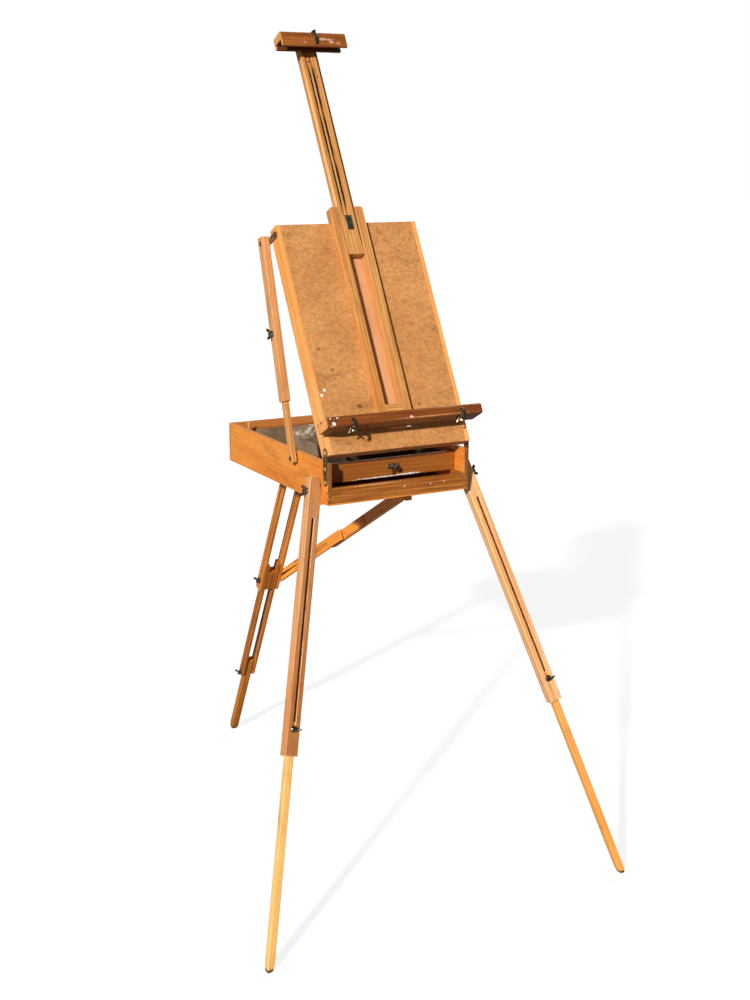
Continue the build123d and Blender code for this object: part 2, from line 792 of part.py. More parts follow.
with BuildPart() as lid_end_top:
    with BuildSketch(lid_section(lid_length - board)):
        with Locations((0, (lid_back + panel_back) / 2)):
            Rectangle(2 * panel_inside, panel_back - lid_back)
        with Locations([(0, off) for off in lid_fingers]):
            Rectangle(2 * lid_half, lid_finger)
        with Locations((0, panel_back - (notch_depth + panel_back) / 2)):
            Rectangle(2 * notch_half, notch_depth + panel_back, mode=Mode.SUBTRACT)
    extrude(amount=board)
lid_end_top.part.label = "lid_end_top"
export_step(lid_end_top.part, "parts/lid_end_top.step")

with BuildPart() as lid_end_bottom:
    with BuildSketch(lid_flank(0)) as end_profile:
        with Locations((bottom_board / 2, (lid_back + panel_back) / 2)):
            Rectangle(bottom_board, panel_back - lid_back)
        fillet(end_profile.vertices().group_by(Axis.X)[0].sort_by(Axis.Y)[0], lid_corner_radius)
    extrude(amount=panel_inside, both=True)
    with BuildSketch(lid_section(0)):
        with Locations([(0, off) for off in lid_fingers[1:]]):
            Rectangle(2 * lid_half, lid_finger)
    extrude(amount=bottom_board)
    for side in (-1, 1):
        with BuildSketch(lid_flank(side * lid_half)):
            with Locations((lid_pivot_up, -lid_pivot_setback)):
                Circle(bolt_hole)
        extrude(amount=-side * board, mode=Mode.SUBTRACT)
lid_end_bottom.part.label = "lid_end_bottom"
export_step(lid_end_bottom.part, "parts/lid_end_bottom.step")

with BuildPart() as lid_panel:
    with BuildSketch(lid_face):
        with Locations((0, lid_length / 2)):
            Rectangle(2 * panel_inside, lid_length)
        with Locations((0, (slot_low + lid_length) / 2)):
            Rectangle(2 * slot_half, lid_length - slot_low, mode=Mode.SUBTRACT)
    extrude(amount=-lid_panel_thickness)
lid_panel.part.label = "lid_panel"
export_step(lid_panel.part, "parts/lid_panel.step")

# Metal bracket on the lid's left side that holds the head of the brace
brace_run = brace_head_place - brace_foot_place
brace_rise = brace_head_height - brace_foot_height
brace_length = hypot(brace_run, brace_rise)
head_run = back(brace_head_place) - lid_edge_y
head_rise = brace_head_height - lid_edge_z
head_up = head_run * sin(lean) + head_rise * cos(lean)
head_off = head_rise * sin(lean) - head_run * cos(lean)
bracket_clearance = 0.2
bracket_inner = half_box + bracket_clearance
bracket_width = plate_width - 4.0
bracket_lap = 4.0
bracket_thickness = 2.0
bracket_pad = 26.0
bracket_near = -10.0

with BuildPart() as brace_bracket:
    with BuildSketch(lid_flank(-bracket_inner)):
        with Locations((head_up, (head_off + bracket_near) / 2)):
            SlotOverall(bracket_near - head_off + bracket_width, bracket_width, rotation=90)
    extrude(amount=-bracket_thickness)
    with BuildSketch(lid_flank(-lid_half)):
        with Locations((head_up, bracket_near - bracket_pad / 2 + bracket_lap)):
            SlotOverall(bracket_pad, bracket_width, rotation=90)
    extrude(amount=lid_half - bracket_inner)
brace_bracket.part.label = "brace_bracket"
export_step(brace_bracket.part, "parts/brace_bracket.step")

# Canvas carrier: two rails and a board that slide on the edges of the panel's slot
lid_up_axis = Axis((0, 0, 0), lid_face.y_dir)
lid_out_axis = Axis((0, 0, 0), lid_normal)
carrier_back = -channel_floor_depth - channel_board_thickness
rail_outside = channel_width / 2 + rail_width
rail_length = lid_length + rail_top_rise - rail_low_end

with BuildPart() as channel_rails:
    with BuildSketch(lid_section(rail_low_end)):
        for side in (-1, 1):
            with Locations((side * (rail_outside - rail_width / 2), (rail_proud + carrier_back) / 2)):
                Rectangle(rail_width, rail_proud - carrier_back)
    extrude(amount=rail_length)
    top_edges = channel_rails.edges().filter_by(lid_out_axis).group_by(lid_up_axis)[-1]
    fillet([top_edges.sort_by(Axis.X)[0], top_edges.sort_by(Axis.X)[-1]], rail_corner_radius)
    with BuildSketch(lid_section(rail_low_end)):
        for side in (-1, 1):
            with Locations((side * (rail_outside - rail_groove / 2), panel_back / 2)):
                Rectangle(rail_groove, lid_panel_thickness + 2 * slide_fit)
    extrude(amount=rail_length, mode=Mode.SUBTRACT)
    with BuildSketch(lid_section(lid_length)):
        for side in (-1, 1):
            with Locations((side * (rail_outside - rail_groove / 2), carrier_back / 2)):
                Rectangle(rail_groove, -carrier_back)
    extrude(amount=rail_top_rise, mode=Mode.SUBTRACT)
channel_rails.part.label = "channel_rails"
export_step(channel_rails.part, "parts/channel_rails.step")

with BuildPart() as channel_board:
    with BuildSketch(lid_section(rail_low_end)):
        with Locations((0, carrier_back + channel_board_thickness / 2)):
            Rectangle(channel_width, channel_board_thickness)
    extrude(amount=rail_length)
channel_board.part.label = "channel_board"
export_step(channel_board.part, "parts/channel_board.step")

with BuildPart() as tray_block:
    with BuildSketch(lid_section(rail_low_end)):
        with Locations((0, (rail_proud - channel_floor_depth) / 2)):
            Rectangle(channel_width, rail_proud + channel_floor_depth)
    extrude(amount=tray_up + tray_block_height - rail_low_end)
    with BuildSketch(lid_section(tray_up)):
        with Locations((0, (rail_proud + slide_fit) / 2)):
            Rectangle(channel_width, rail_proud - slide_fit)
    extrude(amount=rail_low_end - tray_up)
tray_block.part.label = "tray_block"
export_step(tray_block.part, "parts/tray_block.step")

# Tray that carries the foot of the canvas, with a groove along its top
tray_front = rail_proud + tray_reach
tray_groove_width = 8.0
tray_groove_depth = 5.0
tray_groove_place = 22.0
tray_chamfer = 3.0
clip_stud_setback = 18.0
clip_stud_radius = 2.0
clip_stud_hole = clip_stud_radius + pin_fit
clip_stud_depth = 12.0

with BuildPart() as tray:
    with BuildSketch(lid_flank(tray_middle - tray_length / 2)) as tray_profile:
        with Locations((tray_up + tray_height / 2, rail_proud + tray_reach / 2)):
            Rectangle(tray_height, tray_reach)
        chamfer(tray_profile.vertices().group_by(Axis.Y)[-1], tray_chamfer)
        with Locations((tray_up + tray_height - tray_groove_depth / 2, rail_proud + tray_groove_place)):
            Rectangle(tray_groove_depth, tray_groove_width, mode=Mode.SUBTRACT)
    extrude(amount=tray_length)
    with BuildSketch(lid_section(tray_up)):
        with Locations([(x, tray_front - clip_stud_setback) for x in (-tray_hook_spread, tray_hook_spread)]):
            Circle(clip_stud_hole)
    extrude(amount=clip_stud_depth + 1, mode=Mode.SUBTRACT)
tray.part.label = "tray"
export_step(tray.part, "parts/tray.step")

# Bent metal clips that hold the canvas against the tray and the top clamp
clip_width = 8.0
clip_thickness = 2.0
clip_foot = 6.0            # strip left behind the stud
tray_clip_grip = 16.0
clamp_clip_grip = 33.0
clip_bow = 5.0
tray_clip_tab = 15.0       # part of the claw below the tray


def canvas_clip(x, wood_up, outward, front, grip, tab):
    """Metal strip that runs from its stud to the front edge, and bows out down the front face."""
    near = wood_up + outward * clip_thickness
    tip = wood_up - outward * grip
    heel = wood_up + outward * tab
    middle = (tip + heel) / 2
    stud_off = front - clip_stud_setback
    inner = front + face_gap
    outer = inner + clip_thickness
    with BuildPart() as clip:
        with BuildSketch(lid_flank(x - clip_width / 2)):
            with BuildLine():
                Polyline((wood_up, stud_off - clip_foot), (near, stud_off - clip_foot), (near, outer),
                         (wood_up, outer), close=True)
            make_face()
            with BuildLine():
                Line((heel, inner), (heel, outer))
                ThreePointArc((heel, outer), (middle, outer + clip_bow), (tip, outer))
                Line((tip, outer), (tip, inner))
                ThreePointArc((tip, inner), (middle, inner + clip_bow), (heel, inner))
            make_face()
            with Locations(((wood_up + near) / 2, inner + (clip_bow + clip_thickness) / 2)):
                Rectangle(clip_thickness, clip_bow + clip_thickness)
        extrude(amount=clip_width)
        with BuildSketch(lid_section(min(wood_up, near))):
            with Locations((-x, stud_off)):
                Circle(clip_stud_hole)
        extrude(amount=clip_thickness, mode=Mode.SUBTRACT)
    return clip.part


def clip_screw(x, wood_up, outward, front):
    """Small wing screw that tightens a canvas clip."""
    seat_up = wood_up + outward * (clip_thickness + face_gap)
    seat_point = lid_point(x, seat_up, front - clip_stud_setback)
    seat = Plane(origin=seat_point, x_dir=(0.8, -0.6 * cos(lean), 0.6 * sin(lean)),
                 z_dir=lid_face.y_dir * outward)
    return wing_screw(seat, clip_thickness + clip_stud_depth, clip_stud_radius, clip_wing_share)


tray_hooks = Compound(children=[canvas_clip(x, tray_up, -1, tray_front, tray_clip_grip, tray_clip_tab)
                                for x in (-tray_hook_spread, tray_hook_spread)])
tray_hooks.label = "tray_hooks"
export_step(tray_hooks, "parts/tray_hooks.step")

for side, side_name in ((-1, "left"), (1, "right")):
    tray_wing = clip_screw(side * tray_hook_spread, tray_up, -1, tray_front)
    tray_wing.label = f"tray_wing_{side_name}"
    export_step(tray_wing, f"parts/tray_wing_{side_name}.step")

# Mast that slides in the channel, with a groove down its face, two slots in the groove and a spring plate
mast_half = channel_width / 2 - slide_fit
mast_back = -channel_floor_depth + slide_fit

with BuildPart() as mast_bar:
    with BuildSketch(lid_section(mast_low_end)):
        with Locations((0, (mast_front + mast_back) / 2)):
            Rectangle(2 * mast_half, mast_front - mast_back)
    extrude(amount=mast_top - mast_low_end)
    with BuildSketch(lid_section(mast_groove_low)):
        with Locations((-mast_groove_middle, mast_front - mast_groove_depth / 2)):
            Rectangle(mast_groove, mast_groove_depth)
    extrude(amount=mast_top - mast_groove_low, mode=Mode.SUBTRACT)
    with BuildSketch(lid_section(mast_groove_low)):
        for side in (-1, 1):
            slot_middle = mast_rib_middle + side * (mast_rib + mast_slot) / 2
            with Locations((-slot_middle, mast_front - mast_slot_depth / 2)):
                Rectangle(mast_slot, mast_slot_depth)
    extrude(amount=mast_top - mast_groove_low - mast_slot_stop, mode=Mode.SUBTRACT)
mast_bar.part.label = "mast_bar"
export_step(mast_bar.part, "parts/mast_bar.step")

with BuildPart() as spring_plate:
    with BuildSketch(lid_face.offset(mast_front)):
        with Locations((0, mast_groove_low - spring_plate_length / 2 - 1)):
            Rectangle(spring_plate_width, spring_plate_length)
    extrude(amount=spring_plate_thickness)
spring_plate.part.label = "spring_plate"
export_step(spring_plate.part, "parts/spring_plate.step")

# Top clamp: a bar with a lip in front, and a strip behind the lip that is guided in the mast's groove
clamp_top = mast_top + clamp_rise
clamp_ceiling = clamp_top - clamp_head
clamp_front = rail_proud + clamp_reach
clamp_hook_x = 3.0

with BuildPart() as clamp_lower_bar:
    with BuildSketch(lid_section(clamp_ceiling - clamp_strip_height)):
        with Locations((0, rail_proud + clamp_strip / 2)):
            Rectangle(clamp_length, clamp_strip)
        with Locations((-mast_groove_middle, rail_proud - mast_groove_depth / 2)):
            Rectangle(clamp_tongue, mast_groove_depth)
    extrude(amount=clamp_strip_height)
clamp_lower_bar.part.label = "clamp_lower_bar"
export_step(clamp_lower_bar.part, "parts/clamp_lower_bar.step")

with BuildPart() as clamp_upper_bar:
    with BuildSketch(lid_flank(-clamp_length / 2)) as clamp_profile:
        with Locations((clamp_top - clamp_head / 2, rail_proud + clamp_reach / 2)):
            Rectangle(clamp_head, clamp_reach)
        with Locations((clamp_top - clamp_lip_height / 2, clamp_front - clamp_lip / 2)):
            Rectangle(clamp_lip_height, clamp_lip)
        chamfer(clamp_profile.vertices().group_by(Axis.Y)[-1], tray_chamfer)
    extrude(amount=clamp_length)
    with BuildSketch(lid_section(clamp_top)):
        with Locations((-clamp_hook_x, clamp_front - clip_stud_setback)):
            Circle(clip_stud_hole)
    extrude(amount=-clip_stud_depth - 1, mode=Mode.SUBTRACT)
clamp_upper_bar.part.label = "clamp_upper_bar"
export_step(clamp_upper_bar.part, "parts/clamp_upper_bar.step")

clamp_hook = canvas_clip(clamp_hook_x, clamp_top, 1, clamp_front, clamp_clip_grip, clip_thickness)
clamp_hook.label = "clamp_hook"
export_step(clamp_hook, "parts/clamp_hook.step")

clamp_wing = clip_screw(clamp_hook_x, clamp_top, 1, clamp_front)
clamp_wing.label = "clamp_wing"
export_step(clamp_wing, "parts/clamp_wing.step")

# Brace: a slotted bar from the box that slides in a sleeve from the lid
bar_face = -brace_face
sleeve_face = -half_box - sleeve_gap


def brace_plane(x):
    """Plane facing +X with its own X axis up the brace from its foot."""
    return bar_plane(x, brace_foot_place, brace_foot_height, brace_run, brace_rise)


with BuildPart() as brace_lower:
    with BuildSketch(brace_plane(bar_face)):
        with Locations((brace_bar_length / 2 - brace_bar_below, 0)):
            RectangleRounded(brace_bar_length, brace_bar_depth, brace_bar_radius)
        Circle(bolt_hole, mode=Mode.SUBTRACT)
        with Locations(((brace_slot_start + brace_slot_end) / 2, 0)):
            SlotOverall(brace_slot_end - brace_slot_start, leg_slot_width, mode=Mode.SUBTRACT)
    extrude(amount=-brace_bar_width)
brace_lower.part.label = "brace_lower"
export_step(brace_lower.part, "parts/brace_lower.step")

sleeve_start = brace_length - sleeve_below
sleeve_end = brace_length + sleeve_above
bore_stop = 40.0

with BuildPart() as brace_upper:
    with BuildSketch(brace_plane(sleeve_face)):
        with Locations(((sleeve_start + sleeve_end) / 2, 0)):
            RectangleRounded(sleeve_end - sleeve_start, sleeve_depth, 3)
    extrude(amount=-sleeve_width)
    with BuildSketch(brace_plane(bar_face + slide_fit)):
        with Locations(((sleeve_start + brace_length - bore_stop) / 2, 0)):
            Rectangle(brace_length - bore_stop - sleeve_start, brace_bar_depth + 2 * slide_fit)
    extrude(amount=-brace_bar_width - 2 * slide_fit, mode=Mode.SUBTRACT)
    with BuildSketch(brace_plane(sleeve_face)):
        with Locations((brace_nut_place, 0)):
            Circle(bolt_hole)
        with Locations((brace_length, 0)):
            Circle(pin_radius)
    extrude(amount=-sleeve_width, mode=Mode.SUBTRACT)
brace_upper.part.label = "brace_upper"
export_step(brace_upper.part, "parts/brace_upper.step")

# Front legs: a slotted outer section on the hip bolt and a slim section that slides in it
bore_width = leg_bar_width + 2 * slide_fit
bore_depth = leg_bar_depth + 2 * slide_fit
leg_reach = hip_height / (cos(splay) * cos(rake)) + leg_width
leg_slot_end = leg_nut_drop + pin_radius + 4


def leg_section(side, drop):
    """Plane square to a front leg at a distance down it from the hip."""
    hip = hip_plane(side)
    return Plane(origin=hip.origin - hip.z_dir * drop, x_dir=hip.x_dir, z_dir=hip.z_dir)


def leg_front(side, drop, proud):
    """Plane on the front of a leg, with its Z pointing forward."""
    hip = hip_plane(side)
    forward = hip.y_dir * -side
    return Plane(origin=hip.origin - hip.z_dir * drop + forward * proud, x_dir=hip.x_dir, z_dir=forward)


for side, side_name in ((-1, "left"), (1, "right")):
    with BuildPart() as leg_upper:
        with BuildSketch(leg_section(side, leg_upper_length)) as leg_profile:
            Rectangle(leg_width, leg_depth)
            chamfer(leg_profile.vertices(), leg_bevel)
        extrude(amount=leg_upper_length + leg_above_hip)
        with BuildSketch(leg_section(side, leg_upper_length)):
            Rectangle(bore_width, bore_depth)
        extrude(amount=leg_upper_length - leg_bore_top, mode=Mode.SUBTRACT)
        with BuildSketch(leg_front(side, (leg_slot_top + leg_slot_end) / 2, 0)):
            SlotOverall(leg_slot_end - leg_slot_top, leg_slot_width, rotation=90)
        extrude(amount=leg_depth, both=True, mode=Mode.SUBTRACT)
        with BuildSketch(bolt_plane(side)):
            Circle(bolt_hole)
        extrude(amount=leg_width, both=True, mode=Mode.SUBTRACT)
        clear_of_box = Plane(origin=(side * (half_box + leg_top_clearance), 0, 0), z_dir=(side, 0, 0))
        split(bisect_by=clear_of_box, keep=Keep.TOP)
    leg_upper.part.label = f"leg_upper_{side_name}"
    export_step(leg_upper.part, f"parts/leg_upper_{side_name}.step")

    with BuildPart() as leg_lower:
        with BuildSketch(leg_section(side, leg_reach)) as bar_section:
            Rectangle(leg_bar_width, leg_bar_depth)
            chamfer(bar_section.vertices(), leg_bevel / 2)
        extrude(amount=leg_reach - leg_bar_top)
        with BuildSketch(leg_front(side, leg_nut_drop, 0)):
            Circle(bolt_hole)
        extrude(amount=leg_depth, both=True, mode=Mode.SUBTRACT)
        split(bisect_by=Plane.XY, keep=Keep.TOP)
    leg_lower.part.label = f"leg_lower_{side_name}"
    export_step(leg_lower.part, f"parts/leg_lower_{side_name}.step")

    hip = bolt_plane(side)
    hip_seat = hip.offset(leg_width / 2 + face_gap)
    hip_wing = wing_screw(hip_seat, leg_width / 2 + face_gap + hip_bolt_length)
    hip_wing.label = f"hip_wing_{side_name}"
    export_step(hip_wing, f"parts/hip_wing_{side_name}.step")

    leg_wing = wing_screw(leg_front(side, leg_nut_drop, leg_depth / 2 + face_gap), leg_depth)
    leg_wing.label = f"leg_wing_{side_name}"
    export_step(leg_wing, f"parts/leg_wing_{side_name}.step")

# Wing screw that locks the brace
brace_seat_point = Vector(sleeve_face - sleeve_width - face_gap,
                          back(brace_foot_place + brace_nut_place * brace_run / brace_length),
                          brace_foot_height + brace_nut_place * brace_rise / brace_length)
brace_seat = Plane(origin=brace_seat_point, x_dir=(0, brace_run, brace_rise), z_dir=(-1, 0, 0))
brace_wing = wing_screw(brace_seat, sleeve_width)
brace_wing.label = "brace_wing"
export_step(brace_wing, "parts/brace_wing.step")

# Rear leg: three stages that fold into each other like a pocket knife
rear_run = rear_foot_place - rear_hinge_place
rear_length = hypot(rear_run, rear_hinge_height)


def rear_plane(x):
    """Plane facing +X with its own X axis down the rear leg from its hinge."""
    return bar_plane(x, rear_hinge_place, rear_hinge_height, rear_run, -rear_hinge_height)


rail_inner = rear_gap / 2
rail_outer = rail_inner + rear_rail_thickness

with BuildPart() as rear_rails:
    for side in (-1, 1):
        with BuildSketch(rear_plane(side * rail_inner)):
            with Locations((rear_rail_length / 2, 0)):
                Rectangle(rear_rail_length, rear_rail_depth)
            Circle(rear_rail_depth / 2)
            with Locations((0, 0), (elbow_drop, 0)):
                Circle(bolt_hole, mode=Mode.SUBTRACT)
        extrude(amount=side * rear_rail_thickness)
rear_rails.part.label = "rear_rails"
export_step(rear_rails.part, "parts/rear_rails.step")

middle_outer = middle_width / 2
middle_inner = middle_outer - middle_rail_thickness

middle_block_inset = 1.0

with BuildPart() as middle_rails:
    for side in (-1, 1):
        with BuildSketch(rear_plane(side * middle_inner)):
            with Locations(((middle_top + ankle_drop) / 2, 0)):
                Rectangle(ankle_drop - middle_top, middle_depth)
            with Locations((ankle_drop, 0)):
                Circle(middle_round)
            with Locations((elbow_drop, 0), (ankle_drop, 0)):
                Circle(bolt_hole, mode=Mode.SUBTRACT)
        extrude(amount=side * middle_rail_thickness)
    with BuildSketch(rear_plane(-middle_inner)):
        with Locations(((middle_block_top + middle_block_end) / 2, 0)):
            Rectangle(middle_block_end - middle_block_top, middle_depth - middle_block_inset)
        with Locations((elbow_drop, 0)):
            Circle(bolt_hole, mode=Mode.SUBTRACT)
    extrude(amount=2 * middle_inner)
middle_rails.part.label = "middle_rails"
export_step(middle_rails.part, "parts/middle_rails.step")

with BuildPart() as rear_foot:
    with BuildSketch(rear_plane(0)):
        with Locations(((rear_foot_top + rear_length + leg_width) / 2, 0)):
            Rectangle(rear_length + leg_width - rear_foot_top, rear_foot_depth)
        with Locations((ankle_drop, 0)):
            Circle(bolt_hole, mode=Mode.SUBTRACT)
    extrude(amount=rear_foot_width / 2, both=True)
    split(bisect_by=Plane.XY, keep=Keep.TOP)
rear_foot.part.label = "rear_foot"
export_step(rear_foot.part, "parts/rear_foot.step")


def rear_point(x, drop):
    """Point on the rear leg's middle line, shifted across."""
    share = drop / rear_length
    return Vector(x, back(rear_hinge_place + share * rear_run), rear_hinge_height * (1 - share))


elbow_spot = rear_point(-rail_outer - face_gap, elbow_drop)
elbow_wing = wing_screw(Plane(origin=elbow_spot, x_dir=(0, 1, 0.4), z_dir=(-1, 0, 0)), 2 * rail_outer)
elbow_wing.label = "elbow_wing"
export_step(elbow_wing, "parts/elbow_wing.step")

ankle_spot = rear_point(-middle_outer - face_gap, ankle_drop)
ankle_wing = wing_screw(Plane(origin=ankle_spot, x_dir=(0, 1, 0.2), z_dir=(-1, 0, 0)), 2 * middle_outer)
ankle_wing.label = "ankle_wing"
export_step(ankle_wing, "parts/ankle_wing.step")

# Folding strut between the box and the rear leg's elbow
elbow = rear_point(0, elbow_drop)
strut_run = elbow.Y - back(strut_anchor_place)
strut_fall = rear_hinge_height - elbow.Z
strut_length = hypot(strut_run, strut_fall)
splint_end = strut_knee - strut_overlap - 3


def strut_plane(x):
    """Plane facing +X with its own X axis down the strut from its anchor."""
    return bar_plane(x, strut_anchor_place, rear_hinge_height, strut_run, -strut_fall)


with BuildPart() as strut_upper:
    with BuildSketch(strut_plane(strut_upper_start)):
        with Locations((strut_knee / 2, 0)):
            SlotCenterToCenter(strut_knee, strut_depth)
        Circle(bolt_hole, mode=Mode.SUBTRACT)
    extrude(amount=strut_thickness)
    with BuildSketch(strut_plane(strut_upper_start)):
        with Locations((splint_end - splint_length / 2, 0)):
            Rectangle(splint_length, splint_depth)
        with Locations((strut_knee, 0)):
            Circle(strut_washer)
    extrude(amount=-splint_thickness)
    with BuildSketch(strut_plane(strut_start + strut_gap)):
        with Locations((strut_knee, 0)):
            Circle(pin_radius)
    extrude(amount=strut_upper_start - strut_start)
    with BuildSketch(strut_plane(strut_upper_start + strut_thickness)):
        with Locations((strut_knee, 0)):
            Circle(2 * pin_radius)
    extrude(amount=strut_rivet_head)
strut_upper.part.label = "strut_upper"
export_step(strut_upper.part, "parts/strut_upper.step")

with BuildPart() as strut_lower:
    with BuildSketch(strut_plane(strut_start)):
        with Locations(((strut_knee - strut_overlap + strut_length) / 2, 0)):
            Rectangle(strut_length - strut_knee + strut_overlap, strut_depth)
        with Locations((strut_length, 0)):
            Circle(strut_depth / 2)
        with Locations((strut_knee, 0), (strut_length, 0)):
            Circle(bolt_hole, mode=Mode.SUBTRACT)
    extrude(amount=strut_thickness)
strut_lower.part.label = "strut_lower"
export_step(strut_lower.part, "parts/strut_lower.step")
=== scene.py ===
import bpy
import bmesh
import math
from mathutils import Matrix, Vector


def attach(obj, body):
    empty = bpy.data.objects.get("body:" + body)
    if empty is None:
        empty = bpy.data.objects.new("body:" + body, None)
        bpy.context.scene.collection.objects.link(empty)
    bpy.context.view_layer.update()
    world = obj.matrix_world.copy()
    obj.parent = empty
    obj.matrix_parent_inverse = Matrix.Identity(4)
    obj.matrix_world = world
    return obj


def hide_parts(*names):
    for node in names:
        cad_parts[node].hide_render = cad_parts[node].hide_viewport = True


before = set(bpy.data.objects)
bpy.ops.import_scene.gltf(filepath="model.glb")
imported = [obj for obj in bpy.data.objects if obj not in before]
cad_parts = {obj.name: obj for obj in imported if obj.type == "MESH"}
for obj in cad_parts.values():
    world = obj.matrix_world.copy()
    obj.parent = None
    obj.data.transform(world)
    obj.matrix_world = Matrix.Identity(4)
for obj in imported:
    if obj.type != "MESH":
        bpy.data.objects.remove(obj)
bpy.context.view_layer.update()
print("frame loaded:", len(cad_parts), "nodes")

# directions that the wood runs in

lidLean = math.radians(28.5)
lidUp = Vector((0, math.sin(lidLean), math.cos(lidLean)))
lidOut = Vector((0, -math.cos(lidLean), math.sin(lidLean)))
lidEdge = Vector((0, -0.37481, 1.05475))   # lower front edge of the lid
braceUp = Vector((0, 0.143, 0.484)).normalized()
rearDown = Vector((0, 0.469, -0.919)).normalized()
strutAway = Vector((0, 0.658, -0.371)).normalized()
across = Vector((1, 0, 0))
away = Vector((0, 1, 0))
upright = Vector((0, 0, 1))


def onLid(x, up, out):   # a point by its place on the lid, in metres
    return lidEdge + Vector((x, 0, 0)) + lidUp * up + lidOut * out


legSplay, legRake = math.radians(15.56), math.radians(17.57)


def legUp(side):   # side is -1 for the left leg and 1 for the right one
    return Vector((-side * math.sin(legSplay) * math.cos(legRake), math.sin(legRake),
                   math.cos(legSplay) * math.cos(legRake)))


def legFront(side):
    return Vector((-side * math.sin(legSplay) * math.sin(legRake), -math.cos(legRake),
                   math.cos(legSplay) * math.sin(legRake)))


# small helpers for node trees

def fill(tree, sockets, values):   # a socket takes either a value or a link
    for key, value in values.items():
        socket = sockets[key]
        if isinstance(value, bpy.types.NodeSocket):
            tree.links.new(value, socket)
        elif socket.type == "RGBA":
            socket.default_value = tuple(value) + (1,) * (4 - len(value))
        else:
            socket.default_value = value


def addNode(tree, kind, place=(0, 0), values=None, **settings):
    made = tree.nodes.new(kind)
    made.location = place
    for key, value in settings.items():
        setattr(made, key, value)
    fill(tree, made.inputs, values or {})
    return made


def startGroup(name, inputs, outputs):
    group = bpy.data.node_groups.new(name, "ShaderNodeTree")
    kinds = {"value": "NodeSocketFloat", "colour": "NodeSocketColor", "vector": "NodeSocketVector"}
    for side, sockets in (("INPUT", inputs), ("OUTPUT", outputs)):
        for title, kind in sockets.items():
            group.interface.new_socket(name=title, in_out=side, socket_type=kinds[kind])
    taken = addNode(group, "NodeGroupInput", (-1400, 0)).outputs
    given = addNode(group, "NodeGroupOutput", (1200, 0)).inputs
    return group, taken, given


def vectors(tree, how, first, second, place):
    made = addNode(tree, "ShaderNodeVectorMath", place, {0: first}, operation=how)
    if second is not None:
        fill(tree, made.inputs, {"Scale" if how == "SCALE" else 1: second})
    return made.outputs["Value" if how in ("LENGTH", "DOT_PRODUCT") else "Vector"]


def sums(tree, how, first, second, place, clamp=False, third=None):
    items = {slot: item for slot, item in enumerate((first, second, third)) if item is not None}
    return addNode(tree, "ShaderNodeMath", place, items, operation=how, use_clamp=clamp).outputs[0]


def mixed(tree, share, first, second, place, how="MIX"):
    items = {0: share, 6: first, 7: second}
    return addNode(tree, "ShaderNodeMix", place, items, data_type="RGBA", blend_type=how).outputs[2]


def ranged(tree, source, low, high, place, toLow=0.0, toHigh=1.0):
    values = {"Value": source, "From Min": low, "From Max": high, "To Min": toLow, "To Max": toHigh}
    made = addNode(tree, "ShaderNodeMapRange", place, values, interpolation_type="SMOOTHSTEP")
    return made.outputs["Result"]


def noiseOn(tree, source, amounts, detail, place, rough=0.5):   # amounts: repeats in a metre, on each axis
    drawn = vectors(tree, "MULTIPLY", source, amounts, (place[0] - 150, place[1]))
    values = {"Vector": drawn, "Scale": 1.0, "Detail": detail, "Roughness": rough}
    return addNode(tree, "ShaderNodeTexNoise", place, values).outputs["Fac"]


def patches(tree, source, amounts, detail, low, high, place, rough=0.5):
    noise = noiseOn(tree, source, amounts, detail, (place[0] - 200, place[1]), rough)
    return ranged(tree, noise, low, high, place)


# shared effects

beech = {   # how often each pattern repeats in a metre, along the grain and across it
    "wander": (2.5, 15, 15), "streaks": (3.5, 250, 250), "fibres": (45, 2300, 2300), "broad": (3, 17, 17),
    "flecks": (190, 1350, 1350), "warp": 0.012,
    "boardSlope": 0.02, "boardShift": -0.012, "fromHeart": 0.047, "ringSharpness": 2.6}   # how the rings lie


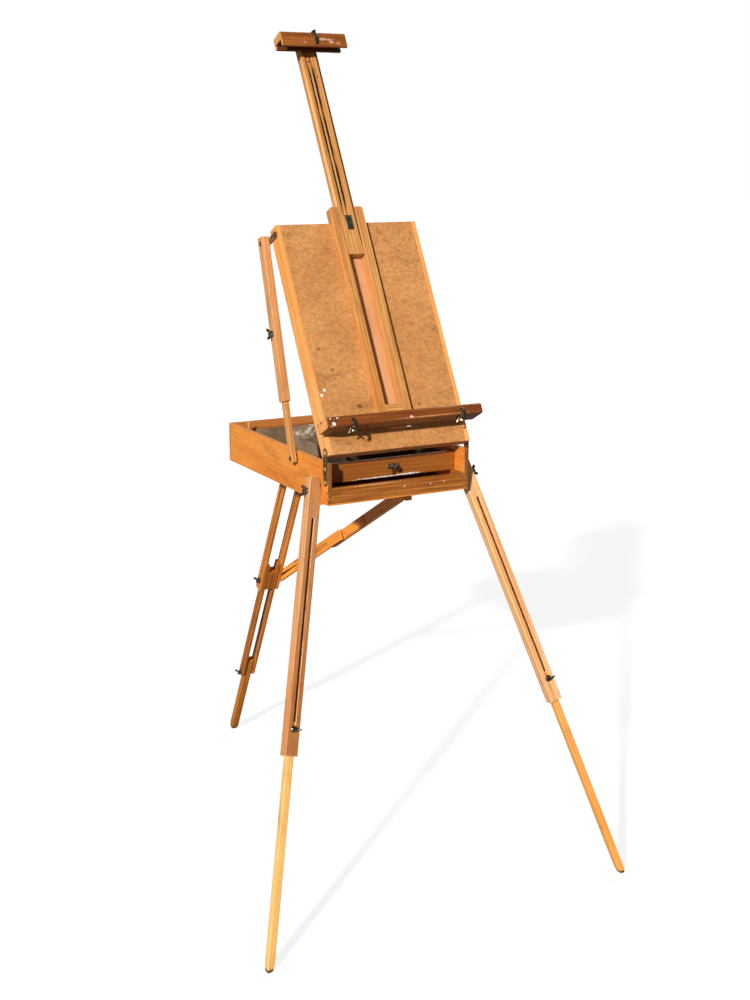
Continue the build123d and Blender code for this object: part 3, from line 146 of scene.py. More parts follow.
def buildBeechGrain():
    group, taken, given = startGroup("beechGrain", {
        "Place": "vector", "Pale": "colour", "Warm": "colour", "Streak": "colour", "Ring Width": "value",
        "Ring Amount": "value", "Streak Amount": "value", "Fleck Amount": "value"},
        {"Color": "colour", "Height": "value", "Rough": "value"})
    place, dark = taken["Place"], taken["Streak"]
    wander = noiseOn(group, place, beech["wander"], 2, (-1050, 300)).node.outputs["Color"]
    centred = vectors(group, "SUBTRACT", wander, (0.5, 0.5, 0.5), (-900, 300))
    shifted = vectors(group, "SCALE", centred, beech["warp"], (-750, 300))
    warped = vectors(group, "ADD", place, shifted, (-600, 300))
    parts = addNode(group, "ShaderNodeSeparateXYZ", (-450, 500), {0: warped}).outputs
    slope = sums(group, "MULTIPLY_ADD", parts[0], beech["boardSlope"], (-300, 600), False,
                 beech["boardShift"])
    sideways = sums(group, "ADD", parts[1], slope, (-150, 600))
    deep = sums(group, "ADD", parts[2], beech["fromHeart"], (-150, 450))
    squared = sums(group, "ADD", sums(group, "POWER", sideways, 2.0, (0, 600)),
                   sums(group, "POWER", deep, 2.0, (0, 450)), (150, 550))
    radius = sums(group, "SQRT", squared, None, (300, 550))
    turns = sums(group, "DIVIDE", radius, taken["Ring Width"], (450, 550))
    wave = sums(group, "MULTIPLY", sums(group, "PINGPONG", turns, 0.5, (600, 550)), 2.0, (700, 550))
    ring = sums(group, "POWER", wave, beech["ringSharpness"], (800, 550))
    streak = patches(group, warped, beech["streaks"], 4, 0.40, 0.68, (-100, 200), 0.62)
    fibre = noiseOn(group, place, beech["fibres"], 2, (-300, 0))
    broad = patches(group, place, beech["broad"], 3, 0.34, 0.66, (-100, -200))
    cells = addNode(group, "ShaderNodeTexVoronoi", (-300, -400), {
        "Scale": 1.0, "Vector": vectors(group, "MULTIPLY", place, beech["flecks"], (-450, -400))})
    fleck = ranged(group, cells.outputs["Distance"], 0.10, 0.26, (-100, -400), 1.0, 0.0)
    ringShare = sums(group, "MULTIPLY", ring, taken["Ring Amount"], (900, 400))
    streakShare = sums(group, "MULTIPLY", streak, taken["Streak Amount"], (100, 200))
    fleckShare = sums(group, "MULTIPLY", fleck, taken["Fleck Amount"], (100, -400))
    darker = mixed(group, 1.0, dark, (0.55, 0.5, 0.45), (600, -200), "MULTIPLY")
    tone = mixed(group, broad, taken["Pale"], taken["Warm"], (200, 0))
    tone = mixed(group, ringShare, tone, dark, (400, 0))
    tone = mixed(group, streakShare, tone, dark, (600, 0))
    tone = mixed(group, fleckShare, tone, darker, (800, 0))
    shade = ranged(group, fibre, 0.3, 0.7, (700, -350), 0.86, 1.1)
    dented = sums(group, "MULTIPLY", fleck, -0.5, (500, -550))
    raised = sums(group, "MULTIPLY_ADD", fibre, 0.5, (700, -550), False, dented)
    fill(group, given, {
        "Color": vectors(group, "SCALE", tone, shade, (1000, 0)),
        "Height": sums(group, "SUBTRACT", raised, sums(group, "MULTIPLY", streak, 0.35, (700, -700)),
                       (900, -600)),
        "Rough": sums(group, "ADD", sums(group, "MULTIPLY", streak, 0.6, (300, -800)),
                      sums(group, "MULTIPLY", broad, 0.4, (300, -900)), (500, -850))})
    return group


plyPattern = {"wide": (7, 9, 9), "cloud": (105, 150, 150), "grit": (420, 700, 700), "wander": (48, 62, 62),
              "broken": (70, 90, 90), "worn": (7, 9, 9), "veinWidth": (0.004, 0.016)}


def buildMottledPly():
    group, taken, given = startGroup("mottledPly", {
        "Place": "vector", "Pale": "colour", "Warm": "colour", "Dark": "colour", "Blotch": "value",
        "Dashes": "value"}, {"Color": "colour", "Height": "value", "Rough": "value"})
    place = taken["Place"]
    wide = patches(group, place, plyPattern["wide"], 3, 0.36, 0.64, (-700, 300), 0.6)
    cloud = patches(group, place, plyPattern["cloud"], 5, 0.40, 0.62, (-700, 100), 0.72)
    grit = noiseOn(group, place, plyPattern["grit"], 3, (-900, -100), 0.7)
    wander = noiseOn(group, place, plyPattern["wander"], 3, (-900, -300), 0.6)
    fromLine = sums(group, "ABSOLUTE", sums(group, "SUBTRACT", wander, 0.5, (-750, -300)), None, (-650, -300))
    vein = ranged(group, fromLine, *plyPattern["veinWidth"], (-500, -300), 1.0, 0.0)
    broken = patches(group, place, plyPattern["broken"], 2, 0.50, 0.58, (-700, -400))
    dash = sums(group, "MULTIPLY", vein, broken, (-350, -350))
    worn = patches(group, place, plyPattern["worn"], 3, 0.42, 0.7, (-700, -600))
    wideShare = sums(group, "MULTIPLY", wide, taken["Blotch"], (-500, 300), True)
    cloudShare = sums(group, "MULTIPLY", sums(group, "MULTIPLY", cloud, 0.52, (-500, 100)), taken["Blotch"],
                      (-400, 100), True)
    dashShare = sums(group, "MULTIPLY", dash, taken["Dashes"], (-200, -300), True)
    tone = mixed(group, wideShare, taken["Pale"], taken["Warm"], (-300, 200))
    tone = mixed(group, cloudShare, tone, taken["Dark"], (-100, 200))
    tone = mixed(group, dashShare, tone, taken["Dark"], (100, 200))
    shade = ranged(group, grit, 0.3, 0.7, (200, -100), 0.80, 1.18)
    fill(group, given, {
        "Color": vectors(group, "SCALE", tone, shade, (400, 100)),
        "Height": sums(group, "SUBTRACT", grit, sums(group, "MULTIPLY", dash, 0.5, (200, -300)), (400, -200)),
        "Rough": sums(group, "MULTIPLY", sums(group, "ADD", worn, cloud, (200, -500)), 0.5, (400, -500))})
    return group


wearPattern = {"patches": (30, 70, 70), "smut": (9, 22, 22), "scratches": (14, 26, 26), "where": (38, 45, 45),
               "scratchWidth": (0.0008, 0.0022), "grime": (0.06, 0.04, 0.025)}


def buildHandWear():   # rubbed edges, grime and hairline scratches
    group, taken, given = startGroup("handWear", {
        "Place": "vector", "Color": "colour", "Bare": "colour", "Edge Radius": "value",
        "Edge Amount": "value", "Grime Amount": "value", "Scratch Amount": "value"},
        {"Color": "colour", "Normal": "vector", "Rubbed": "value"})
    place, grime = taken["Place"], wearPattern["grime"]
    soft = addNode(group, "ShaderNodeBevel", (-1100, 600), {"Radius": taken["Edge Radius"]}, samples=6)
    flat = addNode(group, "ShaderNodeNewGeometry", (-1100, 450))
    turned = vectors(group, "DOT_PRODUCT", soft.outputs[0], flat.outputs["Normal"], (-900, 550))
    edge = ranged(group, sums(group, "SUBTRACT", 1.0, turned, (-700, 550)), 0.01, 0.16, (-500, 550))
    patchy = patches(group, place, wearPattern["patches"], 3, 0.38, 0.6, (-700, 250))
    rubbed = sums(group, "MULTIPLY", sums(group, "MULTIPLY", edge, patchy, (-300, 450)), taken["Edge Amount"],
                  (-150, 450), True)
    smut = patches(group, place, wearPattern["smut"], 5, 0.5, 0.78, (-700, 50), 0.65)
    smutShare = sums(group, "MULTIPLY", smut, taken["Grime Amount"], (-500, 50), True)
    lines = noiseOn(group, place, wearPattern["scratches"], 1.5, (-900, -150))
    fromLine = sums(group, "ABSOLUTE", sums(group, "SUBTRACT", lines, 0.5, (-700, -150)), None, (-550, -150))
    hair = ranged(group, fromLine, *wearPattern["scratchWidth"], (-400, -150), 1.0, 0.0)
    where = patches(group, place, wearPattern["where"], 2, 0.55, 0.62, (-700, -350))
    scratch = sums(group, "MULTIPLY", sums(group, "MULTIPLY", hair, where, (-200, -200)),
                   taken["Scratch Amount"], (-50, -200), True)
    soiled = mixed(group, 1.0, taken["Color"], grime, (0, 250), "MULTIPLY")
    colour = mixed(group, smutShare, taken["Color"], soiled, (200, 150))
    colour = mixed(group, scratch, colour, grime, (400, 150))
    colour = mixed(group, rubbed, colour, taken["Bare"], (600, 150))
    fill(group, given, {"Color": colour, "Normal": soft.outputs[0], "Rubbed": rubbed})
    return group


markEdge = {"ragged": (330, 330, 330), "raggedBy": 4.0, "fade": (0.8, 1.0)}


def buildSpot():   # one mark at a known place, with a ragged outline
    group, taken, given = startGroup("oneMark", {
        "Place": "vector", "Centre": "vector", "Reach": "vector", "Ragged": "value"}, {"Mask": "value"})
    apart = vectors(group, "SUBTRACT", taken["Place"], taken["Centre"], (-900, 0))
    scaled = vectors(group, "DIVIDE", apart, taken["Reach"], (-700, 0))
    far = vectors(group, "LENGTH", scaled, None, (-500, 0))
    rough = noiseOn(group, taken["Place"], markEdge["ragged"], 3, (-700, -200))
    shift = sums(group, "MULTIPLY", sums(group, "SUBTRACT", rough, 0.5, (-500, -200)), taken["Ragged"],
                 (-300, -200))
    shift = sums(group, "MULTIPLY", shift, markEdge["raggedBy"], (-200, -200))
    outline = sums(group, "ADD", far, shift, (-100, 0))
    fill(group, given, {"Mask": ranged(group, outline, *markEdge["fade"], (100, 0), 1.0, 0.0)})
    return group


beechGrain = buildBeechGrain()
mottledPly = buildMottledPly()
handWear = buildHandWear()
oneMark = buildSpot()


def grouped(tree, group, place, values):
    return addNode(tree, "ShaderNodeGroup", place, values, node_tree=group).outputs


# the woods of this easel

varnish = {"specular": 0.24, "coat": 0.05, "coatRoughness": 0.36, "depth": 0.00035, "bump": 0.55,
           "edgeRadius": 0.0013, "edges": 0.75, "rubbedRough": 0.15}
woods = {
    "honey": {"pale": (0.79, 0.285, 0.044), "warm": (0.68, 0.210, 0.025), "streak": (0.40, 0.108, 0.011),
              "rings": 0.14, "ringWidth": 0.012, "streaks": 0.22, "flecks": 0.16, "bare": (0.92, 0.52, 0.18),
              "grime": 0.40, "scratches": 0.35, "rough": (0.36, 0.52), "coat": 0.09},
    "front": {"pale": (0.63, 0.228, 0.044), "warm": (0.48, 0.152, 0.022), "streak": (0.18, 0.048, 0.006),
              "rings": 0.60, "ringWidth": 0.006, "streaks": 0.75, "flecks": 0.45, "bare": (0.70, 0.34, 0.10),
              "grime": 0.45, "scratches": 0.4, "rough": (0.36, 0.52)},
    "drawer": {"pale": (0.43, 0.140, 0.023), "warm": (0.34, 0.102, 0.014), "streak": (0.15, 0.038, 0.004),
               "rings": 0.30, "ringWidth": 0.009, "streaks": 0.42, "flecks": 0.3, "bare": (0.70, 0.34, 0.10),
               "grime": 0.35, "scratches": 0.3, "rough": (0.30, 0.45)},
    "tray": {"pale": (0.31, 0.088, 0.018), "warm": (0.215, 0.050, 0.008), "streak": (0.070, 0.014, 0.002),
             "rings": 0.40, "ringWidth": 0.008, "streaks": 0.65, "flecks": 0.5, "bare": (0.60, 0.27, 0.09),
             "grime": 0.5, "scratches": 0.6, "rough": (0.24, 0.46)},
    "clamp": {"pale": (0.40, 0.126, 0.026), "warm": (0.29, 0.077, 0.013), "streak": (0.11, 0.025, 0.003),
              "rings": 0.35, "ringWidth": 0.008, "streaks": 0.55, "flecks": 0.4, "bare": (0.66, 0.32, 0.12),
              "grime": 0.45, "scratches": 0.6, "rough": (0.24, 0.44)},
    "rail": {"pale": (0.73, 0.365, 0.125), "warm": (0.63, 0.262, 0.066), "streak": (0.38, 0.125, 0.022),
             "rings": 0.50, "ringWidth": 0.005, "streaks": 0.62, "flecks": 0.60, "bare": (0.92, 0.60, 0.26),
             "grime": 0.35, "scratches": 0.35, "rough": (0.38, 0.54)},
    "board": {"pale": (0.66, 0.340, 0.165), "warm": (0.62, 0.280, 0.115), "streak": (0.42, 0.15, 0.055),
              "rings": 0.18, "ringWidth": 0.010, "streaks": 0.35, "flecks": 0.25, "bare": (0.85, 0.5, 0.28),
              "grime": 0.3, "scratches": 0.2, "rough": (0.4, 0.55)},
    "leg": {"pale": (0.76, 0.385, 0.160), "warm": (0.63, 0.275, 0.092), "streak": (0.40, 0.130, 0.030),
            "rings": 0.36, "ringWidth": 0.006, "streaks": 0.55, "flecks": 0.50, "bare": (0.98, 0.70, 0.36),
            # the strong rubbed edges are worn bare wood, and also a painted highlight along the leg's corners
            "grime": 0.40, "scratches": 0.4, "rough": (0.36, 0.52), "edgeRadius": 0.0022,
            "edges": 1.0},
    "pale": {"pale": (0.98, 0.640, 0.270), "warm": (0.90, 0.520, 0.170), "streak": (0.60, 0.270, 0.060),
             "rings": 0.28, "ringWidth": 0.006, "streaks": 0.34, "flecks": 0.32, "bare": (0.98, 0.76, 0.42),
             "grime": 0.30, "scratches": 0.3, "rough": (0.40, 0.54)},
    "rear": {"pale": (0.74, 0.275, 0.042), "warm": (0.60, 0.190, 0.022), "streak": (0.30, 0.080, 0.008),
             "rings": 0.40, "ringWidth": 0.006, "streaks": 0.50, "flecks": 0.40, "bare": (0.90, 0.52, 0.20),
             "grime": 0.45, "scratches": 0.4, "rough": (0.36, 0.52)},
}


def localPlace(tree, along, facing, shift):   # turns object coordinates so that x runs with the grain
    lengthwise = Vector(along).normalized()
    outwards = Vector(facing) - lengthwise * Vector(facing).dot(lengthwise)
    outwards.normalize()
    sideways = outwards.cross(lengthwise)
    turn = Matrix((lengthwise, sideways, outwards)).to_euler("XYZ")
    where = addNode(tree, "ShaderNodeTexCoord", (-1600, 0)).outputs["Object"]
    placed = addNode(tree, "ShaderNodeMapping", (-1400, 0), {"Vector": where, "Location": shift,
                                                             "Rotation": turn})
    return where, placed.outputs["Vector"]


def startMaterial(name):
    made = bpy.data.materials.new(name)
    made.use_nodes = True
    tree = made.node_tree
    return made, tree, tree.nodes["Principled BSDF"].inputs


def finishSurface(tree, surface, place, colour, height, look):   # gives the colour its wear, and the bump
    wear = grouped(tree, handWear, (450, 0), {
        "Place": place, "Color": colour, "Bare": look["bare"], "Edge Radius": look["edgeRadius"],
        "Edge Amount": look["edges"], "Grime Amount": look["grime"], "Scratch Amount": look["scratches"]})
    bump = addNode(tree, "ShaderNodeBump", (800, -550), {
        "Strength": look["bump"], "Distance": look["depth"], "Height": height, "Normal": wear["Normal"]})
    fill(tree, surface, {"Base Color": wear["Color"], "Normal": bump.outputs["Normal"]})
    return wear["Rubbed"]


def markAt(tree, where, centre, reach, ragged, place):
    return grouped(tree, oneMark, place, {"Place": where, "Centre": centre, "Reach": reach,
                                          "Ragged": ragged})["Mask"]


def addMarks(tree, where, colour, marks):   # marks: (centre, reach, ragged, colour, strength)
    for step, (centre, reach, ragged, tint, strength) in enumerate(marks):
        high = 500 + 180 * step
        share = sums(tree, "MULTIPLY", markAt(tree, where, centre, reach, ragged, (-200, high)), strength,
                     (0, high), True)
        colour = mixed(tree, share, colour, tint, (150, high - 100))
    return colour


seedStep = Vector((0.731, 0.0173, 0.0061))   # each board is cut from another place in the tree


def makeWood(name, kind, along, facing, seed, marks=(), **changes):
    wood = {**varnish, **woods[kind], **changes}
    made, tree, surface = startMaterial(name)
    where, place = localPlace(tree, along, facing, seedStep * seed)
    grain = grouped(tree, beechGrain, (-1100, 0), {
        "Place": place, "Pale": wood["pale"], "Warm": wood["warm"], "Streak": wood["streak"],
        "Ring Width": wood["ringWidth"], "Ring Amount": wood["rings"], "Streak Amount": wood["streaks"],
        "Fleck Amount": wood["flecks"]})
    if "frontAt" in wood:   # a mask of the front face: with marks it keeps them off the back, without marks it lays painted shade on the front face
        inward = addNode(tree, "ShaderNodeSeparateXYZ", (-1100, -500), {0: place})
        start = wood["frontAt"] + seedStep.z * seed - wood["frontDepth"]
        wood["heart"] = ranged(tree, inward.outputs[2], start, start + 0.001, (-900, -500))
    finishWood(tree, surface, wood, where, place, grain, marks)
    return made


def finishWood(tree, surface, wood, where, place, grain, marks):
    colour = addMarks(tree, where, grain["Color"], marks)
    if "heart" in wood and marks:   # these marks stay off the back
        colour = mixed(tree, wood["heart"], grain["Color"], colour, (250, 300))
    elif "heart" in wood:
        # painted shade: the front face is darkened by the tint
        darker = mixed(tree, 1.0, colour, wood["paintedFrontShade"], (100, 200), "MULTIPLY")
        colour = mixed(tree, wood["heart"], colour, darker, (250, 200))
    rubbed = finishSurface(tree, surface, place, colour, grain["Height"], wood)
    rough = ranged(tree, grain["Rough"], 0.0, 1.0, (450, -300), *wood["rough"])
    duller = sums(tree, "MULTIPLY", rubbed, wood["rubbedRough"], (650, -450))
    fill(tree, surface, {
        "Roughness": sums(tree, "ADD", rough, duller, (800, -300), True),
        "Specular IOR Level": wood["specular"], "Coat Weight": wood["coat"],
        "Coat Roughness": wood["coatRoughness"]})


lidPly = {**varnish, "pale": (0.66, 0.310, 0.110), "warm": (0.55, 0.240, 0.076), "dark": (0.28, 0.100, 0.021),
          "bare": (0.85, 0.52, 0.24), "grime": 0.35, "scratches": 0.3, "rough": (0.34, 0.52), "coat": 0.08,
          "blotch": 0.8, "dashes": 0.6, "depth": 0.0003}


def makePly(name, along, facing, seed, marks=()):
    made, tree, surface = startMaterial(name)
    where, place = localPlace(tree, along, facing, seedStep * seed)
    grain = grouped(tree, mottledPly, (-1100, 0), {
        "Place": place, "Pale": lidPly["pale"], "Warm": lidPly["warm"], "Dark": lidPly["dark"],
        "Blotch": lidPly["blotch"], "Dashes": lidPly["dashes"]})
    finishWood(tree, surface, lidPly, where, place, grain, marks)
    return made


# metals and leather

castMetal = {"cloud": (170, 170, 170), "pits": (900, 900, 900), "brushed": (2600, 300, 2600),
             "seedStep": 0.41, "edgeRadius": 0.0006, "grime": 0.5, "scratches": 0.3, "bump": 0.35,
             "depth": 0.0002}


def makeBronze(name, finish, seed):
    metal = {**castMetal, **finish}
    made, tree, surface = startMaterial(name)
    place = localPlace(tree, across, upright, (seed * metal["seedStep"], 0, 0))[1]
    cloud = patches(tree, place, metal["cloud"], 4, 0.36, 0.66, (-700, 200), 0.6)
    pits = patches(tree, place, metal["pits"], 3, 0.3, 0.72, (-700, 0), 0.6)
    brushed = noiseOn(tree, place, metal["brushed"], 2, (-900, -200))
    cloudShare = sums(tree, "MULTIPLY", cloud, 0.4, (-500, 200))
    colour = mixed(tree, cloudShare, metal["dark"], metal["bare"], (-300, 200))
    height = sums(tree, "ADD", pits, sums(tree, "MULTIPLY", brushed, 0.5, (-100, -600)), (100, -550))
    finishSurface(tree, surface, place, colour, height, metal)
    dullness = sums(tree, "ADD", sums(tree, "MULTIPLY", pits, 0.6, (-400, -100)),
                    sums(tree, "MULTIPLY", cloud, 0.4, (-400, -200)), (-250, -150))
    fill(tree, surface, {"Metallic": metal["metallic"],
                         "Roughness": ranged(tree, dullness, 0.0, 1.0, (0, -350), *metal["rough"])})
    return made


zinc = {"dark": (0.17, 0.115, 0.070), "light": (0.27, 0.20, 0.135), "wiped": (0.98, 0.88, 0.75),
        "rust": (0.30, 0.13, 0.07), "shade": (0.030, 0.020, 0.012), "bare": (0.55, 0.52, 0.46),
        "wipeCentre": (0.030, 0.165, 1.002), "wipeReach": (0.100, 0.050, 0.022),   # where it is wiped bright
        "lidShadowCentre": (0.0, -0.300, 1.0), "lidShadowReach": (0.45, 0.25, 0.12),   # painted shadow of the lid's foot on the zinc
        "cloud": (9, 16, 16), "smears": (11, 20, 20), "dabs": (60, 60, 60), "lines": (30, 1900, 1900),
        "edgeRadius": 0.0006, "edges": 0.6, "grime": 0.6, "scratches": 0.6, "metallic": (0.20, 0.02),
        "rough": (0.56, 0.76), "specular": 0.25, "bump": 0.3, "depth": 0.0003}


def makeZinc(name):
    made, tree, surface = startMaterial(name)
    where, place = localPlace(tree, away, upright, (0, 0, 0))
    cloud = patches(tree, place, zinc["cloud"], 5, 0.35, 0.68, (-700, 300), 0.62)
    smear = patches(tree, place, zinc["smears"], 6, 0.52, 0.66, (-700, 100), 0.68)
    dabs = patches(tree, place, zinc["dabs"], 3, 0.70, 0.74, (-700, -100))
    lines = noiseOn(tree, place, zinc["lines"], 2, (-900, -300))
    # painted shadow: the front of the zinc is darkened where the lid's foot shades it
    lidShadow = markAt(tree, where, zinc["lidShadowCentre"], zinc["lidShadowReach"], 0.1, (-700, 800))
    patch = markAt(tree, where, zinc["wipeCentre"], zinc["wipeReach"], 0.5, (-700, 600))
    smear = sums(tree, "MULTIPLY", smear, ranged(tree, patch, 0.0, 1.0, (-500, 600), 0.12, 1.0), (-350, 100))
    colour = mixed(tree, cloud, zinc["dark"], zinc["light"], (-400, 300))
    colour = mixed(tree, sums(tree, "MULTIPLY", smear, 0.9, (-250, 100)), colour, zinc["wiped"], (-150, 200))
    colour = mixed(tree, sums(tree, "MULTIPLY", dabs, 0.8, (-500, -100)), colour, zinc["rust"], (0, 200))
    colour = mixed(tree, sums(tree, "MULTIPLY", lidShadow, 0.85, (-100, 700)), colour, zinc["shade"], (50, 300))
    height = sums(tree, "ADD", sums(tree, "MULTIPLY", lines, 0.3, (0, -600)), smear, (200, -600))
    finishSurface(tree, surface, place, colour, height, zinc)
    dullness = sums(tree, "ADD", cloud, lines, (0, -400))
    fill(tree, surface, {"Specular IOR Level": zinc["specular"],
                         "Metallic": ranged(tree, smear, 0.0, 1.0, (450, -250), *zinc["metallic"]),
                         "Roughness": ranged(tree, dullness, 0.2, 1.8, (200, -400), *zinc["rough"])})
    return made


leather = {"dark": (0.10, 0.040, 0.016), "light": (0.20, 0.085, 0.032), "bare": (0.42, 0.22, 0.10),
           "pebbles": (700, 900, 900), "creases": (60, 260, 260), "edgeRadius": 0.0012, "edges": 0.6,
           "grime": 0.4, "scratches": 0.5, "rough": (0.62, 0.42), "bump": 0.5, "depth": 0.0004}


def makeLeather(name):
    made, tree, surface = startMaterial(name)
    place = localPlace(tree, away, across, (0, 0, 0))[1]
    drawn = vectors(tree, "MULTIPLY", place, leather["pebbles"], (-1100, 200))
    pebble = addNode(tree, "ShaderNodeTexVoronoi", (-900, 200), {"Scale": 1.0, "Vector": drawn},
                     feature="SMOOTH_F1")
    crease = patches(tree, place, leather["creases"], 4, 0.42, 0.64, (-700, 0), 0.6)
    colour = mixed(tree, crease, leather["dark"], leather["light"], (-400, 200))
    height = sums(tree, "ADD", pebble.outputs["Distance"], crease, (100, -500))
    finishSurface(tree, surface, place, colour, height, leather)
    fill(tree, surface, {"Roughness": ranged(tree, crease, 0.0, 1.0, (100, -300), *leather["rough"])})
    return made


# every CAD node gets its own finish

white = (0.88, 0.87, 0.84)
brownMark = (0.16, 0.055, 0.018)
endPaintedShade = (0.17, 0.068, 0.018)
cutPaintedLight, cutPaintedLightOrange = (0.76, 0.320, 0.105), (0.68, 0.30, 0.10)   # the sawn left ends of tray and clamp: paler end grain, plus painted light where the lamp falls on them
cutBrown = (0.22, 0.07, 0.015)
rawEdge = (0.80, 0.42, 0.28)
nearBlack = (0.012, 0.006, 0.003)
lidMarks = [   # centre, reach, raggedness, colour, strength
    (onLid(-0.178, 0.149, 0), (0.0035, 0.0085, 0.004), 0.55, white, 0.95),
    (onLid(-0.169, 0.141, 0), (0.0050, 0.0035, 0.004), 0.60, white, 0.9),
    (onLid(-0.159, 0.153, 0), (0.0040, 0.0065, 0.004), 0.60, white, 0.9),
    (onLid(-0.081, 0.108, 0), (0.0070, 0.0045, 0.006), 0.18, brownMark, 0.75),
    (onLid(-0.150, 0.252, 0), (0.0040, 0.0035, 0.006), 0.45, brownMark, 0.7),
    (onLid(-0.127, 0.199, 0), (0.0045, 0.0030, 0.006), 0.45, brownMark, 0.6),
    (onLid(0.073, 0.099, 0), (0.0040, 0.0025, 0.006), 0.40, brownMark, 0.7),
    (onLid(-0.128, 0.022, 0), (0.0080, 0.0030, 0.006), 0.50, brownMark, 0.45),
]
trayMarks = [
    (onLid(-0.188, 0.053, 0.064), (0.0050, 0.0045, 0.005), 0.35, white, 0.95),
    (onLid(-0.177, 0.066, 0.064), (0.0030, 0.0015, 0.004), 0.4, white, 0.9),
    (onLid(-0.194, 0.066, 0.064), (0.0020, 0.0015, 0.004), 0.4, white, 0.9),
    (onLid(0.008, 0.052, 0.064), (0.0045, 0.0018, 0.005), 0.5, (0.90, 0.66, 0.56), 0.9),
    (onLid(-0.192, 0.047, 0.064), (0.0110, 0.0018, 0.004), 0.5, (0.80, 0.42, 0.30), 0.8),
    (onLid(0.060, 0.050, 0.064), (0.0900, 0.0016, 0.002), 0.9, (0.62, 0.30, 0.13), 0.6),
    # painted light on the tray's left end, and painted shade in the notch on that end
    (onLid(-0.2045, 0.058, 0.038), (0.0022, 0.0300, 0.040), 0.15, cutPaintedLight, 1.0),
    (onLid(-0.2045, 0.066, 0.030), (0.0030, 0.0025, 0.007), 0.3, (0.30, 0.11, 0.03), 0.85),
]
clampMarks = [
    (onLid(0.030, 1.0135, 0.0545), (0.0200, 0.0030, 0.003), 0.9, (0.76, 0.52, 0.38), 0.55),
    (onLid(0.045, 1.0060, 0.0545), (0.0060, 0.0050, 0.003), 0.8, (0.80, 0.56, 0.42), 0.6),
    (onLid(0.062, 1.0045, 0.0545), (0.0070, 0.0025, 0.003), 0.8, (0.76, 0.45, 0.30), 0.5),
    (onLid(-0.027, 1.0045, 0.0545), (0.0030, 0.0014, 0.003), 0.5, rawEdge, 0.8),
    # painted light on the clamp's left end
    (onLid(-0.0865, 1.020, 0.034), (0.0020, 0.0400, 0.030), 0.15, cutPaintedLightOrange, 0.9),
]
# painted shade inside the mast's slots
mastSlotShade = [(onLid(x, up, 0.005), (0.0027, 0.08, 0.14), 0.03, nearBlack, 0.96)
             for x in (-0.0082, 0.0012) for up in (0.655, 0.78, 0.905)]
# painted shade along the mast's right edge
mastEdgeShade = [(onLid(0.0190, up, 0.005), (0.0024, 0.09, 0.16), 0.05, (0.06, 0.018, 0.005), 0.92)
            for up in (0.60, 0.74, 0.88, 0.98)]
# painted light on the mast's left side
mastSideLight = [(onLid(-0.0226, 0.75, 0.005), (0.0012, 0.35, 0.5), 0.05, (0.98, 0.56, 0.25), 0.8)]
mastMarks = mastSlotShade + mastEdgeShade + mastSideLight + [
    (onLid(-0.0035, 0.9795, 0.010), (0.0022, 0.0028, 0.004), 0.15, nearBlack, 1.0),
    (onLid(0.0060, 0.958, 0.0125), (0.0016, 0.0020, 0.004), 0.15, nearBlack, 0.95),
    (onLid(0.0085, 0.937, 0.0125), (0.0016, 0.0026, 0.004), 0.15, nearBlack, 0.95),
    (onLid(-0.0060, 0.5300, 0.0125), (0.0011, 0.0040, 0.004), 0.2, cutBrown, 0.85),
    (onLid(0.0060, 0.5305, 0.0125), (0.0011, 0.0040, 0.004), 0.2, cutBrown, 0.85),
]
railMarks = [
    (onLid(-0.0365, 0.4065, 0.013), (0.0012, 0.0065, 0.004), 0.45, brownMark, 0.9),
    (onLid(-0.0340, 0.3985, 0.013), (0.0010, 0.0050, 0.004), 0.45, brownMark, 0.8),
]
drawerMarks = [
    (Vector((-0.020, -0.3245, 0.9785)), (0.0700, 0.003, 0.0016), 0.9, white, 0.8),
    (Vector((0.050, -0.3245, 0.9795)), (0.0300, 0.003, 0.0022), 0.9, white, 0.7),
]
frontRailMarks = [
    (Vector((0.082, -0.3685, 0.9604)), (0.0020, 0.003, 0.0022), 0.3, white, 0.9),
    (Vector((0.118, -0.3685, 0.9626)), (0.0018, 0.003, 0.0016), 0.3, white, 0.9),
    (Vector((0.013, -0.3685, 0.9620)), (0.0018, 0.003, 0.0016), 0.3, white, 0.85),
    (Vector((-0.060, -0.3685, 0.9745)), (0.0700, 0.004, 0.0014), 0.8, (0.70, 0.42, 0.20), 0.55),
]
# painted shade on the front ends of the box sides and just inside them, where the light only grazes
boxEndShade = [(Vector((side * 0.180, -0.3690, 0.985)), (0.02, 0.0016, 0.12), 0.05, endPaintedShade, 0.85)
          for side in (-1, 1)]
# painted light on the lower clamp bar's left end, where the upper bar's shadow leaves it lit
stripEndPaintedLight = (onLid(-0.0865, 1.008, 0.016), (0.0020, 0.02, 0.02), 0.1, cutPaintedLightOrange, 0.9)
footTip = (Vector((0, 0, 0)), (2.0, 2.0, 0.009), 0.15, (0.085, 0.036, 0.012), 0.9)   # darker over the lowest 9 mm of each foot
markOf = {"tray": trayMarks, "clamp_upper_bar": clampMarks, "mast_bar": mastMarks, "channel_rails": railMarks,
          "drawer_front": drawerMarks, "box_front_rail": frontRailMarks, "box_side_left": boxEndShade,
          "box_side_right": boxEndShade, "leg_lower_left": [footTip], "leg_lower_right": [footTip],
          "rear_foot": [footTip], "clamp_lower_bar": [stripEndPaintedLight]}
